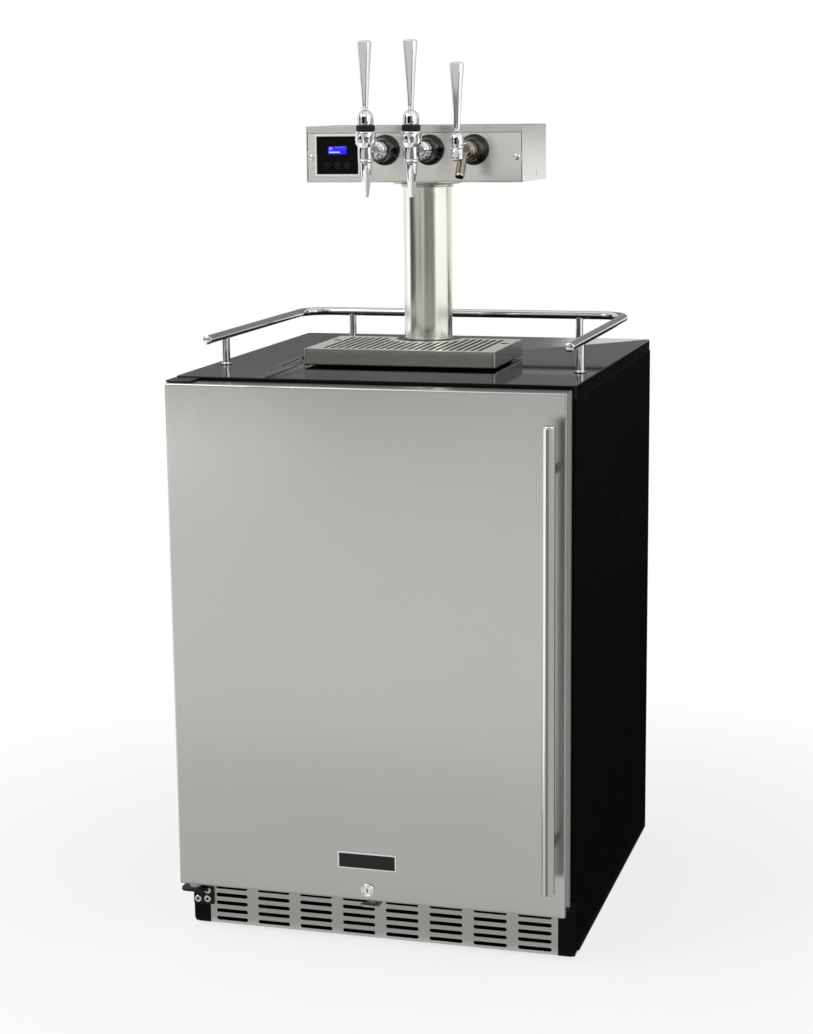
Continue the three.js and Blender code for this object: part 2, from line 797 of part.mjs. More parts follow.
function condenserFan() {
  const middleY = fanFrontY + fanHubLength / 2;
  const hub = rodY(fanHubRadius, condenserX, fanZ, fanFrontY, fanFrontY + fanHubLength);
  const blades = [];
  for (let i = 0; i < fanBladeCount; i += 1) {
    const reach = fanRadius - fanHubRadius / 2;
    const blade = new THREE.BoxGeometry(fanBladeChord, fanBladeThickness, reach);
    blade.translate(0, 0, fanRadius - reach / 2);
    blade.rotateZ(THREE.MathUtils.degToRad(fanBladePitch));
    blade.rotateY((2 * Math.PI * i) / fanBladeCount);
    blades.push(blade.translate(condenserX, middleY, fanZ));
  }
  const bore = rodY(motorShaftRadius + seat, condenserX, fanZ, fanFrontY - overrun,
    fanFrontY + fanHubLength + overrun, sidesTiny);
  return cut(joined(hub, ...blades), bore);
}
function evaporatorCover() {
  const half = cavityX - evaporatorSideGap;
  const coverBackY = cavityBackY - seat;
  const coverFrontY = coverBackY - evaporatorDepth;
  const highZ = cavityCeilingZ - evaporatorDrop;
  const lowZ = highZ - evaporatorHeight;
  const shell = block(-half, half, coverFrontY, coverBackY, lowZ, highZ);
  const inner = block(-half + evaporatorSheet, half - evaporatorSheet, coverFrontY + evaporatorSheet,
    coverBackY + overrun, lowZ + evaporatorSheet, highZ - evaporatorSheet);
  const slots = [];
  for (let i = 0; i < evaporatorSlots; i += 1) {
    for (const side of [-1, 1]) {
      const x = side * (evaporatorFanHole + evaporatorSlotPitch * (i + 1));
      slots.push(block(x - evaporatorSlotWidth / 2, x + evaporatorSlotWidth / 2, coverFrontY - overrun,
        coverFrontY + evaporatorSheet + overrun, lowZ + evaporatorSlotRise,
        lowZ + evaporatorSlotRise + evaporatorSlotHeight));
    }
  }
  const fanHole = rodY(evaporatorFanHole, 0, (lowZ + highZ) / 2, coverFrontY - overrun,
    coverFrontY + evaporatorSheet + overrun, sidesMedium);
  return cut(shell, inner, fanHole, ...slots);
}
function powerInlet() {
  const z = baseZ + inletRise;
  const [halfX, halfZ] = [inletWidth / 2, inletHeight / 2];
  const body = block(inletX - halfX, inletX + halfX, backY - inletDepth, backY, z - halfZ, z + halfZ);
  const well = block(inletX - halfX + inletWall, inletX + halfX - inletWall, backY - inletRecess,
    backY + overrun, z - halfZ + inletWall, z + halfZ - inletWall);
  const pinPlaces = [[-1, -1 / 2], [1, -1 / 2], [0, 1 / 2]];
  const pins = pinPlaces.map(([across, up]) => {
    const x = inletX + across * inletPinSpacing;
    const middle = z + (up * inletPinHeight) / 2;
    return block(x - inletPinWidth / 2, x + inletPinWidth / 2, backY - inletRecess - seat,
      backY - inletRecess + inletPinLength, middle - inletPinHeight / 2, middle + inletPinHeight / 2);
  });
  return joined(cut(body, well), ...pins);
}

// Guard rail
const railZ = topZ + railHeight;
function guardRail() {
  const points = [new THREE.Vector3(-railHalfWidth, frontY + railFront, railZ)];
  const bendY = frontY + railBack - railBend;
  const bendX = railHalfWidth - railBend;
  const bendSteps = arcSteps + 2;
  for (const side of [-1, 1]) {
    for (let i = 0; i <= bendSteps; i += 1) {
      const turn = (Math.PI / 2) * (side < 0 ? i / bendSteps : 1 - i / bendSteps);
      const x = side * (bendX + railBend * Math.cos(turn));
      points.push(new THREE.Vector3(x, bendY + railBend * Math.sin(turn), railZ));
    }
  }
  points.push(new THREE.Vector3(railHalfWidth, frontY + railFront, railZ));
  return tubeAlong(points, railRadius, sidesSmall);
}
function railPost(x, y, alongY) {
  const lowZ = topZ + seat;
  const post = rodZ(railPostRadius, x, y, lowZ, railZ, sidesSmall);
  const foot = rodZ(railPostFootRadius, x, y, lowZ, lowZ + railPostFootHeight, sidesSmall);
  const reach = railPostRadius + overrun;
  const saddle = alongY
    ? rodY(railRadius + seat, x, railZ, y - reach, y + reach, sidesMedium)
    : rodX(railRadius + seat, y, railZ, x - reach, x + reach, sidesMedium);
  return cut(joined(post, foot), saddle);
}

// Drip tray and its grid: a rectangle with a round notch for the column at its back
function trayOutline(inset) {
  const half = trayWidth / 2 - inset;
  const [front, back] = [trayFrontY + inset, trayBackY - inset];
  const radius = Math.max(trayCorner - inset, trayInnerCorner);
  const notch = trayNotchRadius + inset;
  const meet = Math.asin((back - towerY) / notch);
  const shape = new THREE.Shape();
  shape.absarc(-half + radius, front + radius, radius, Math.PI, Math.PI * 1.5);
  shape.absarc(half - radius, front + radius, radius, Math.PI * 1.5, Math.PI * 2);
  shape.absarc(half - radius, back - radius, radius, 0, Math.PI / 2);
  for (let i = 0; i <= sidesSmall; i += 1) {
    const angle = meet - ((Math.PI + 2 * meet) * i) / sidesSmall;
    shape.lineTo(notch * Math.cos(angle), towerY + notch * Math.sin(angle));
  }
  shape.absarc(-half + radius, back - radius, radius, Math.PI / 2, Math.PI);
  shape.closePath();
  return shape;
}
function dripTray() {
  const gridZ = trayTopZ - gridSheet - seat;
  const pan = flatPiece(trayOutline(0), trayLowZ, trayTopZ);
  const rebate = flatPiece(trayOutline(trayWall), gridZ, trayTopZ + overrun);
  const well = flatPiece(trayOutline(trayLedge), trayLowZ + trayWall, trayTopZ);
  const feet = [-1, 1].flatMap((side) => [trayFrontY, trayBackY].map((edge, index) => {
    const y = edge + (index === 0 ? trayFootInset : -trayFootInset);
    const x = side * (trayWidth / 2 - trayFootInset);
    return rodZ(trayFootRadius, x, y, topZ + seat, trayLowZ + seat, sidesSmall);
  }));
  return joined(cut(pan, rebate, well), ...feet);
}
function dripGrid() {
  const shape = trayOutline(trayWall + seat);
  const slotReach = trayWidth / 2 - gridSideMargin;
  const slotsEachSide = Math.floor(slotReach / gridSlotPitch);
  const clearRadius = trayNotchRadius + gridEndMargin;
  for (let i = -slotsEachSide; i <= slotsEachSide; i += 1) {
    const x = i * gridSlotPitch;
    const reach = clearRadius * clearRadius - x * x;
    const backEnd = trayBackY - gridEndMargin;
    const nearColumn = reach > 0 ? towerY - Math.sqrt(reach) : backEnd;
    const end = Math.min(backEnd, nearColumn);
    shape.holes.push(slotAlong(x, trayFrontY + gridEndMargin, end, gridSlotWidth));
  }
  for (const side of [-1, 1]) {
    const x = side * (trayWidth / 2 - gridHoleInset);
    shape.holes.push(roundHole(x, trayBackY - gridHoleFromBack, gridHoleRadius, sidesSmall));
  }
  return flatPiece(shape, trayTopZ - gridSheet, trayTopZ, arcSteps / 2);
}

// Column and its collar
const collarZ = headZ - seat - collarThickness;
function columnTube() {
  const lowZ = topZ + seat;
  const inner = columnRadius - columnWall;
  return turnedZ([
    [inner, 0],
    [columnFlangeRadius, 0],
    [columnFlangeRadius, columnFlangeThickness],
    [columnRadius, columnFlangeThickness],
    [columnRadius, collarZ - seat - lowZ],
    [inner, collarZ - seat - lowZ],
    [inner, 0],
  ], 0, towerY, lowZ, sidesLarge);
}
function columnCollar() {
  const skirtInner = columnRadius + seat;
  const skirtOuter = skirtInner + collarSkirtWall;
  return turnedZ([
    [collarBore, 0],
    [skirtInner, 0],
    [skirtInner, -collarSkirt],
    [skirtOuter, -collarSkirt],
    [skirtOuter, 0],
    [collarRadius, 0],
    [collarRadius, collarThickness],
    [collarBore, collarThickness],
    [collarBore, 0],
  ], 0, towerY, collarZ, sidesLarge);
}

// Head
const panelBackY = headFrontY + headSheet;
function headShell() {
  const inside = headHalf - headSheet;
  const box = block(-headHalf, headHalf, headFrontY, headBackY, headZ, headTopZ);
  const hollow = block(-inside, inside, panelBackY, headBackY - headSheet, headZ + headSheet,
    headTopZ - headSheet);
  const mouth = block(-inside, inside, headFrontY - overrun, panelBackY + overrun, headZ + headSheet,
    headTopZ - headLip);
  const lineHole = rodZ(lineHoleRadius, 0, towerY, headZ - overrun, headZ + headSheet + overrun, sidesLarge);
  const sideSlots = [-1, 1].map((side) => {
    const y = headBackY - headSideSlotInset;
    const z = headZ + headSideSlotRise;
    const [x0, x1] = [side * headHalf - overrun, side * headHalf + overrun];
    return block(x0, x1, y, y + headSideSlotWidth, z, z + headSideSlotHeight);
  });
  const underSlots = [-1, 1].flatMap((side) => [0, 1].map((index) => {
    const x = side * (headUnderSlotX - index * headUnderSlotSpacing);
    const y = headFrontY + headUnderSlotInset;
    return block(x - headUnderSlotLength / 2, x + headUnderSlotLength / 2, y, y + headUnderSlotWidth,
      headZ - overrun, headZ + headSheet + overrun);
  }));
  const tabs = [-1, 1].map((side) => {
    const [x0, x1] = side < 0 ? [-inside - seat, -inside + headTab] : [inside - headTab, inside + seat];
    const middle = (headZ + headTopZ - headLip) / 2;
    return block(x0, x1, panelBackY + seat, panelBackY + seat + headSheet,
      middle - headTabHeight / 2, middle + headTabHeight / 2);
  });
  return joined(cut(box, hollow, mouth, lineHole, ...sideSlots, ...underSlots), ...tabs);
}
function tapPlaces() {
  return [0, 1, 2].map((index) => firstTapX + index * tapPitch);
}
function headFrontPanel() {
  const edge = headHalf - headSheet - seat;
  const [lowZ, highZ] = [headZ + headSheet + seat, headTopZ - headLip - seat];
  const shape = rectangle(-edge, edge, lowZ, highZ);
  const [reachX, reachZ] = [fasciaWidth / 2 + seat, fasciaHeight / 2 + seat];
  shape.holes.push(rectangle(displayX - reachX, displayX + reachX, displayZ - reachZ, displayZ + reachZ));
  for (const x of tapPlaces()) shape.holes.push(roundHole(x, tapZ, shankRadius + seat, sidesMedium));
  const screwZ = (lowZ + highZ) / 2;
  const screws = [-1, 1].map((side) => rodY(headScrewRadius, side * (headHalf - headScrewInset), screwZ,
    headFrontY - headScrewHeight, headFrontY + seat, sidesSmall));
  return joined(uprightPiece(shape, headFrontY, panelBackY), ...screws);
}

// Display
const fasciaY = headFrontY - seat - fasciaProud;
const keyPlaces = [-1, 0, 1].map((index) => displayX + index * keyPitch);
const keyZ = displayZ - keyDrop;
function displayBezel() {
  const [reachX, reachZ] = [fasciaWidth / 2 + seat, fasciaHeight / 2 + seat];
  const [outX, outZ] = [reachX + bezelBorder, reachZ + bezelBorder];
  const shape = rectangle(displayX - outX, displayX + outX, displayZ - outZ, displayZ + outZ);
  shape.holes.push(rectangle(displayX - reachX, displayX + reachX, displayZ - reachZ, displayZ + reachZ));
  return uprightPiece(shape, headFrontY - seat - bezelThickness, headFrontY - seat);
}
function displayPanel() {
  const [halfX, halfZ] = [fasciaWidth / 2, fasciaHeight / 2];
  const housing = block(displayX - halfX, displayX + halfX, fasciaY, fasciaY + fasciaDepth,
    displayZ - halfZ, displayZ + halfZ);
  const wellDepth = keyThickness - keyProud + keyTravel + keyFloorGap;
  const wells = keyPlaces.map((x) => {
    return rodY(keyRadius + seat, x, keyZ, fasciaY - overrun, fasciaY + wellDepth, sidesMedium);
  });
  return cut(housing, ...wells);
}
function displayKey(x) {
  const front = fasciaY - keyProud;
  return rodY(keyRadius, x, keyZ, front, front + keyThickness, sidesMedium);
}

// Taps
function tapShank(x) {
  const rod = rodY(shankRadius, x, tapZ, headFrontY - shankFront, headFrontY + shankTail);
  const nutY = panelBackY + seat;
  const nut = rodY(shankNutRadius, x, tapZ, nutY, nutY + shankNutThickness, sidesOfNut);
  const bore = rodY(shankBore, x, tapZ, headFrontY - shankFront - overrun,
    headFrontY + shankTail + overrun, sidesTiny);
  return cut(joined(rod, nut), bore);
}
function shankFlange(x) {
  const bore = shankRadius + seat;
  const profile = [[bore, 0], [bellRadius, 0], [bellRadius, bellRim]];
  const steps = arcSteps * 2;
  for (let i = 1; i <= steps; i += 1) {
    const turn = (Math.PI / 2) * (i / steps);
    const radius = bellRadius - (bellRadius - bellNoseRadius) * Math.sin(turn);
    profile.push([radius, bellRim + (bellLength - bellRim) * (1 - Math.cos(turn))]);
  }
  profile.push([bore, bellLength], [bore, 0]);
  return turnedForward(profile, x, headFrontY - seat, tapZ, sidesMedium);
}
const couplingY = headFrontY - seat - bellLength - seat;
function tapInlet(x) {
  const chamfer = couplingChamfer;
  const coupling = turnedForward([
    [0, 0],
    [couplingRadius - chamfer, 0],
    [couplingRadius, chamfer],
    [couplingRadius, couplingLength - chamfer],
    [couplingRadius - chamfer, couplingLength],
    [0, couplingLength],
  ], x, couplingY, tapZ, sidesMedium);
  const barrel = rodY(barrelRadius, x, tapZ, tapY, couplingY - couplingLength + seat);
  const socket = rodY(shankRadius + seat, x, tapZ, headFrontY - shankFront - seat, couplingY + overrun);
  return cut(joined(coupling, barrel), socket);
}
// A round bonnet whose crown is a half ball about the lever's pin, slotted for the lever
function bonnet(x, lowZ, pivotZ, radius) {
  const profile = [[0, lowZ - pivotZ], [radius, lowZ - pivotZ]];
  const steps = arcSteps * 2;
  for (let i = 0; i <= steps; i += 1) {
    const turn = (Math.PI / 2) * (i / steps);
    profile.push([i === steps ? 0 : radius * Math.cos(turn), radius * Math.sin(turn)]);
  }
  return turnedZ(profile, x, tapY, pivotZ, sidesMedium);
}
function leverRoom(x, pivotZ, radius) {
  const half = leverSlotWidth / 2;
  const reach = radius + overrun;
  const depth = leverTongueRadius + seat;
  const slot = block(x - half, x + half, tapY - reach, tapY + reach, pivotZ - depth, pivotZ + reach);
  const pinReach = radius - leverPinMargin + seat;
  const pinHole = rodX(leverPinRadius + seat, tapY, pivotZ, x - pinReach, x + pinReach, sidesTiny);
  return [slot, pinHole];
}
const stoutPivotZ = tapZ + mainBodyHigh + capRingHeight + bonnetHeight;
const plainPivotZ = tapZ + plainHousingHigh + bonnetHeight;
function stoutBody(x) {
  const neckZ = tapZ + mainBodyHigh;
  const ringTopZ = neckZ + capRingHeight;
  const body = turnedZ([
    [0, -lowerBodyDrop],
    [lowerBodyRadius, -lowerBodyDrop],
    [lowerBodyRadius, mainBodyLow - mainBodyChamfer],
    [mainBodyRadius, mainBodyLow],
    [mainBodyRadius, mainBodyHigh - mainBodyChamfer],
    [mainBodyRadius - mainBodyChamfer / 2, mainBodyHigh],
    [neckRadius, mainBodyHigh],
    [neckRadius, mainBodyHigh + capRingHeight + seat],
    [0, mainBodyHigh + capRingHeight + seat],
  ], x, tapY, tapZ, sidesMedium);
  const crown = bonnet(x, ringTopZ, stoutPivotZ, bonnetRadius);
  const bore = rodZ(nozzleBore, x, tapY, tapZ - lowerBodyDrop - overrun, tapZ, sidesTiny);
  const whole = joined(body, crown, tapInlet(x));
  return cut(whole, bore, ...leverRoom(x, stoutPivotZ, bonnetRadius));
}
function capRing(x) {
  const [inner, high] = [neckRadius + seat, capRingHeight - seat * 2];
  return turnedZ([
    [inner, 0],
    [capRingRadius, 0],
    [capRingRadius, high],
    [inner, high],
    [inner, 0],
  ], x, tapY, tapZ + mainBodyHigh + seat, sidesMedium);
}
function nozzle(x) {
  return turnedZ([
    [nozzleBore, 0],
    [nozzleTopRadius, 0],
    [nozzleTopRadius, -nozzleTopRadius / 2],
    [nozzleWaistRadius, -nozzleWaistDrop],
    [nozzleTipRadius, -nozzleLength],
    [nozzleBore, -nozzleLength],
    [nozzleBore, 0],
  ].reverse(), x, tapY, tapZ - lowerBodyDrop - seat, sidesSmall);
}
function plainBody(x) {
  const housing = turnedZ([
    [0, -plainHousingDrop],
    [plainHousingRadius - mainBodyChamfer, -plainHousingDrop],
    [plainHousingRadius, mainBodyChamfer - plainHousingDrop],
    [plainHousingRadius, plainHousingHigh + seat],
    [0, plainHousingHigh + seat],
  ], x, tapY, tapZ, sidesMedium);
  const root = new THREE.Vector3(x, tapY + spoutRootSetback, tapZ - spoutRootDrop);
  const tip = new THREE.Vector3(x, tapY + spoutTipSetback, tapZ - spoutTipDrop);
  const spout = tubeAlong([root, tip], spoutRadius, sidesSmall);
  const beyond = tip.clone().lerp(root, -overrun / tip.distanceTo(root));
  const bore = tubeAlong([root.clone().lerp(tip, 1 / 2), beyond], spoutBore, sidesTiny);
  const crown = bonnet(x, tapZ + plainHousingHigh, plainPivotZ, plainBonnetRadius);
  const whole = joined(housing, crown, tapInlet(x), spout);
  return cut(whole, bore, ...leverRoom(x, plainPivotZ, plainBonnetRadius));
}
// A lever that is round at its foot and swells into a flat-faced paddle with a domed end
function tapLever(x, pivotZ, radius) {
  const rootZ = pivotZ + radius + seat * 2;
  const rings = handleRings;
  const around = sidesSmall;
  const rows = [];
  for (let i = 0; i <= rings + 1; i += 1) {
    const share = Math.min(i / rings, 1);
    const swell = share ** handleSwellShare;
    const square = handleFootSquareShare + (handleTopSquareShare - handleFootSquareShare) * share;
    const crowned = i > rings ? handleCrownShare : 1;
    const width = (handleRootWidth + (handleTopWidth - handleRootWidth) * swell) * crowned;
    const depth = (handleRootWidth + (handleTopDepth - handleRootWidth) * swell) * crowned;
    const z = rootZ + share * (handleLength - handleCrown) + (i > rings ? handleCrown : 0);
    const row = [];
    for (let k = 0; k < around; k += 1) {
      const angle = (2 * Math.PI * (k + 1 / 2)) / around;
      const [c, s] = [Math.cos(angle), Math.sin(angle)];
      const round = (Math.abs(c) ** square + Math.abs(s) ** square) ** (-1 / square);
      row.push([x + (c * round * width) / 2, tapY + (s * round * depth) / 2, z]);
    }
    rows.push(row);
  }
  const corners = rows.flat();
  corners.push([x, tapY, rootZ], [x, tapY, rootZ + handleLength]);
  const [foot, crown] = [corners.length - 2, corners.length - 1];
  const faces = [];
  for (let i = 0; i < rows.length - 1; i += 1) {
    for (let k = 0; k < around; k += 1) {
      const next = (k + 1) % around;
      const [a, b] = [i * around + k, i * around + next];
      faces.push(a, b, b + around, a, b + around, a + around);
    }
  }
  const lastRow = (rows.length - 1) * around;
  for (let k = 0; k < around; k += 1) {
    const next = (k + 1) % around;
    faces.push(foot, next, k, crown, lastRow + k, lastRow + next);
  }
  const paddle = new THREE.BufferGeometry();
  paddle.setAttribute('position', new THREE.BufferAttribute(Float32Array.from(corners.flat()), 3));
  paddle.setIndex(faces);
  const half = leverTongueThickness / 2;
  const disc = rodX(leverTongueRadius, tapY, pivotZ, x - half, x + half, sidesSmall);
  const stem = block(x - half, x + half, tapY - half, tapY + half, pivotZ, rootZ + half);
  const pinReach = radius - leverPinMargin;
  const pin = rodX(leverPinRadius, tapY, pivotZ, x - pinReach, x + pinReach, sidesTiny);
  return joined(paddle, disc, stem, pin);
}

// Beverage lines: one insulated trunk in the column and a hose to each shank
function lineTrunk() {
  const lowZ = cavityCeilingZ + seat;
  const topEdge = headZ + trunkHeadRise;
  const trunk = rodZ(lineHoleRadius - seat, 0, towerY, lowZ, topEdge, sidesMedium);
  const hoses = tapPlaces().map((x, index) => {
    const startX = (index - 1) * hoseSpread;
    const tailY = headFrontY + shankTail + seat;
    const start = new THREE.Vector3(startX, towerY, topEdge - hoseRadius);
    const lift = new THREE.Vector3(startX, towerY, tapZ);
    const turnIn = new THREE.Vector3(x, towerY, tapZ);
    const straight = new THREE.Vector3(x, tailY + hoseStraight, tapZ);
    const tail = new THREE.Vector3(x, tailY, tapZ);
    const curve = new THREE.CubicBezierCurve3(start, lift, turnIn, straight);
    return tubeAlong([...curve.getPoints(sidesTiny), tail], hoseRadius, sidesTiny);
  });
  return joined(trunk, ...hoses);
}

// Door
function doorSkin() {
  const shape = new THREE.Shape();
  const skinBackY = doorBackY - linerSheet - seat;
  const radius = doorEdgeRadius;
  shape.moveTo(-doorHalf, skinBackY);
  shape.absarc(-doorHalf + radius, doorFrontY + radius, radius, Math.PI, Math.PI * 1.5);
  shape.absarc(doorHalf - radius, doorFrontY + radius, radius, Math.PI * 1.5, Math.PI * 2);
  shape.lineTo(doorHalf, skinBackY);
  shape.closePath();
  const outer = flatPiece(shape, doorLowZ, doorTopZ);
  const inside = doorHalf - skinSheet;
  const hollow = block(-inside, inside, doorFrontY + radius, skinBackY + overrun,
    doorLowZ + skinSheet, doorTopZ - skinSheet);
  const flatInside = doorHalf - radius;
  const face = block(-flatInside, flatInside, doorFrontY + skinSheet, doorFrontY + radius + overrun,
    doorLowZ + skinSheet, doorTopZ - skinSheet);
  const pinHole = rodZ(pinRadius + seat, pinX, pinY, doorLowZ - overrun, doorTopZ + overrun, sidesSmall);
  const lockHole = rodY(lockRadius + seat, 0, baseZ + lockRise, doorFrontY - overrun, pinY);
  return cut(outer, hollow, face, pinHole, lockHole);
}
function doorCore() {
  const inset = skinSheet + seat;
  const side = doorHalf - inset;
  const frontFace = doorFrontY + doorEdgeRadius + seat;
  const body = block(-side, side, frontFace, doorBackY - linerSheet - seat, doorLowZ + inset,
    doorTopZ - inset);
  const flatSide = doorHalf - doorEdgeRadius - seat;
  const face = block(-flatSide, flatSide, doorFrontY + inset, frontFace + seat, doorLowZ + inset,
    doorTopZ - inset);
  const holeRadius = pinRadius + seat;
  const reach = pinEngagement + overrun;
  const lowHole = rodZ(holeRadius, pinX, pinY, doorLowZ, doorLowZ + reach, sidesSmall);
  const topHole = rodZ(holeRadius, pinX, pinY, doorTopZ - reach, doorTopZ, sidesSmall);
  const lockHole = rodY(lockRadius + seat, 0, baseZ + lockRise, doorFrontY,
    doorFrontY + lockLength + seat);
  return cut(joined(body, face), lowHole, topHole, lockHole);
}
function doorLiner() {
  const side = doorHalf - skinSheet;
  const plate = block(-side, side, doorBackY - linerSheet, doorBackY, doorLowZ + skinSheet,
    doorTopZ - skinSheet);
  const outX = cavityX - dykeClearance;
  const [lowZ, highZ] = [cavityFloorZ + dykeClearance, cavityCeilingZ - dykeClearance];
  const shape = rectangle(-outX, outX, lowZ, highZ);
  shape.holes.push(rectangle(-outX + dykeWidth, outX - dykeWidth, lowZ + dykeWidth, highZ - dykeWidth));
  return joined(plate, uprightPiece(shape, doorBackY - seat, frontY + dykeReach));
}
function doorGasket() {
  const outX = cavityX + gasketClearance + gasketWidth;
  const [lowZ, highZ] = [baseZ + tubRise + gasketLowMargin, skirtZ - gasketTopMargin + seat];
  const shape = rectangle(-outX, outX, lowZ, highZ);
  shape.holes.push(rectangle(-outX + gasketWidth, outX - gasketWidth, lowZ + gasketWidth,
    highZ - gasketWidth));
  return uprightPiece(shape, doorBackY + seat, frontY - seat);
}
function doorHandle() {
  const x = doorHalf - barInset;
  const y = doorFrontY - barStandOff;
  const middle = baseZ + barMidRise;
  const bar = rodZ(barRadius, x, y, middle - barLength / 2, middle + barLength / 2, sidesMedium);
  const posts = [-1, 1].map((side) => {
    return rodY(postRadius, x, middle + (side * postSpacing) / 2, y, doorFrontY - seat, sidesSmall);
  });
  return joined(bar, ...posts);
}
function badgePlate() {
  const z = baseZ + badgeRise;
  const [halfX, halfZ] = [badgeWidth / 2, badgeHeight / 2];
  const plateBackY = doorFrontY - seat;
  const plateFrontY = plateBackY - badgeThickness;
  const plate = block(-halfX, halfX, plateFrontY, plateBackY, z - halfZ, z + halfZ);
  const field = block(-halfX + badgeRim, halfX - badgeRim, plateFrontY - overrun,
    plateFrontY + badgeRecess, z - halfZ + badgeRim, z + halfZ - badgeRim);
  return cut(plate, field);
}
function lockBarrel() {
  const z = baseZ + lockRise;
  const flangeFrontY = doorFrontY - seat - lockFlangeThickness;
  const flange = rodY(lockFlangeRadius, 0, z, flangeFrontY, doorFrontY - seat);
  const barrel = rodY(lockRadius, 0, z, flangeFrontY + seat, doorFrontY + lockLength, sidesSmall);
  const slot = block(-keySlotWidth / 2, keySlotWidth / 2, flangeFrontY - overrun,
    flangeFrontY + keySlotDepth, z - keySlotHeight / 2, z + keySlotHeight / 2);
  return cut(joined(flange, barrel), slot);
}

// Levelling feet
function levellingFoot([x, y]) {
  const discTop = baseZ - seat;
  const disc = rodZ(footDiscRadius, x, y, 0, discTop, sidesMedium);
  const stem = rodZ(footStemRadius, x, y, discTop - seat, baseZ + footStemHeight, sidesSmall);
  return joined(disc, stem);
}

// The assembly
add('side_panel_left', sidePanel(-1), blackPaint());
add('side_panel_right', sidePanel(1), blackPaint());
add('back_panel', backPanel(), blackPaint());
add('machine_cover', machineCover(), blackPaint());
add('top_panel', topPanel(), blackGloss());
add('base_pan', basePan(), blackPaint());
add('liner_tub', linerTub(), whiteLiner());
add('kick_grille', kickGrille(), brushedSteel());
add('hinge_plate_lower', lowerHinge(), blackPaint());
add('hinge_plate_upper', upperHinge(), blackPaint());
add('lock_keeper', lockKeeper(), zincSteel());
add('compressor', compressor(), blackPaint());
add('condenser', condenser(), zincSteel());
add('condenser_fan', condenserFan(), blackPlastic());
add('evaporator_cover', evaporatorCover(), whiteLiner());
add('power_inlet', powerInlet(), blackPlastic());
add('guard_rail', guardRail(), polishedSteel());
add('rail_post_1', railPost(-railHalfWidth, frontY + railSidePost, true), polishedSteel());
add('rail_post_2', railPost(-backPostX, frontY + railBack, false), polishedSteel());
add('rail_post_3', railPost(backPostX, frontY + railBack, false), polishedSteel());
add('rail_post_4', railPost(railHalfWidth, frontY + railSidePost, true), polishedSteel());
add('drip_tray', dripTray(), brushedSteel());
add('drip_grid', dripGrid(), brushedSteel());
add('column_tube', columnTube(), brushedSteel());
add('column_collar', columnCollar(), polishedSteel());
add('head_shell', headShell(), brushedSteel());
add('head_front_panel', headFrontPanel(), brushedSteel());
add('display_bezel', displayBezel(), palePlastic());
add('display_panel', displayPanel(), blackGloss());
keyPlaces.forEach((x, index) => add(`display_key_${index + 1}`, displayKey(x), blackPlastic()));
tapPlaces().forEach((x, index) => {
  const number = index + 1;
  const plain = index === 2;
  const pivotZ = plain ? plainPivotZ : stoutPivotZ;
  const crownRadius = plain ? plainBonnetRadius : bonnetRadius;
  add(`tap_shank_${number}`, tapShank(x), polishedSteel());
  add(`shank_flange_${number}`, shankFlange(x), blackPlastic());
  add(`faucet_body_${number}`, plain ? plainBody(x) : stoutBody(x), polishedSteel());
  add(`tap_lever_${number}`, tapLever(x, pivotZ, crownRadius), polishedSteel());
  if (!plain) {
    add(`cap_ring_${number}`, capRing(x), blackPlastic());
    add(`nozzle_${number}`, nozzle(x), polishedSteel());
  }
});
add('line_trunk', lineTrunk(), greyRubber());
add('door_skin', doorSkin(), brushedSteel());
add('door_core', doorCore(), foamCore());
add('door_liner', doorLiner(), whiteLiner());
add('door_gasket', doorGasket(), greyRubber());
add('door_handle', doorHandle(), polishedSteel());
add('badge_plate', badgePlate(), blackGloss());
add('lock_barrel', lockBarrel(), polishedSteel());
footPlaces.forEach((place, index) => {
  add(`levelling_foot_${index + 1}`, levellingFoot(place), blackPlastic());
});

export default dispenser;
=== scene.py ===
"""Dresses an undercounter cold brew dispenser: cabinet, guard rail, drip tray, column, head and taps."""
import json
import math

import bmesh
import bpy
import numpy as np
from bpy.props import FloatProperty, FloatVectorProperty, IntProperty, PointerProperty
from mathutils import Matrix, Vector
from mathutils.geometry import tessellate_polygon

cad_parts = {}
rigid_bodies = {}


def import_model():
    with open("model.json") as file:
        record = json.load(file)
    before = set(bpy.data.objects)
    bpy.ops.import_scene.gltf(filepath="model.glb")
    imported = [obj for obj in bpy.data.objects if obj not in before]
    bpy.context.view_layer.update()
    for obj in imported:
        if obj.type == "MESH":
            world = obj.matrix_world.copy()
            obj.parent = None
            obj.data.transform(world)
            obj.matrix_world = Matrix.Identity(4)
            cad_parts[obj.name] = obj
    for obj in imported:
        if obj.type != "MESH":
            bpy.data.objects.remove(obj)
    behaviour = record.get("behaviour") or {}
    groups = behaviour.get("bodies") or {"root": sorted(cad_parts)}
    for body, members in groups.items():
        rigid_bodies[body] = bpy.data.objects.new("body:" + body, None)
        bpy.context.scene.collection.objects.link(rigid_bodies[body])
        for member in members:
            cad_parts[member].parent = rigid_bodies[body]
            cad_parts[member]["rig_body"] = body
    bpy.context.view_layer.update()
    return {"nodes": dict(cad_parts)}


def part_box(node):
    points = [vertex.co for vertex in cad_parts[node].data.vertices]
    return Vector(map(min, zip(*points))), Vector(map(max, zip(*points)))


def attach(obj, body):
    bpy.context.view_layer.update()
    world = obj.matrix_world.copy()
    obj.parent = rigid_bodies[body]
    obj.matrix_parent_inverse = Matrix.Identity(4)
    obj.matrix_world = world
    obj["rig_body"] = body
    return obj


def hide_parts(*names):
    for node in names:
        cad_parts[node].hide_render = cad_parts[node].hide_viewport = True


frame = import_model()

bl_info = {
    "name": "Cold Brew Dispenser",
    "version": (1, 0, 0),
    "blender": (4, 5, 0),
    "location": "View3D > Sidebar > Dispenser",
    "description": "Builds the visible pieces and finishes of a column-top cold brew dispenser",
    "category": "Object",
}

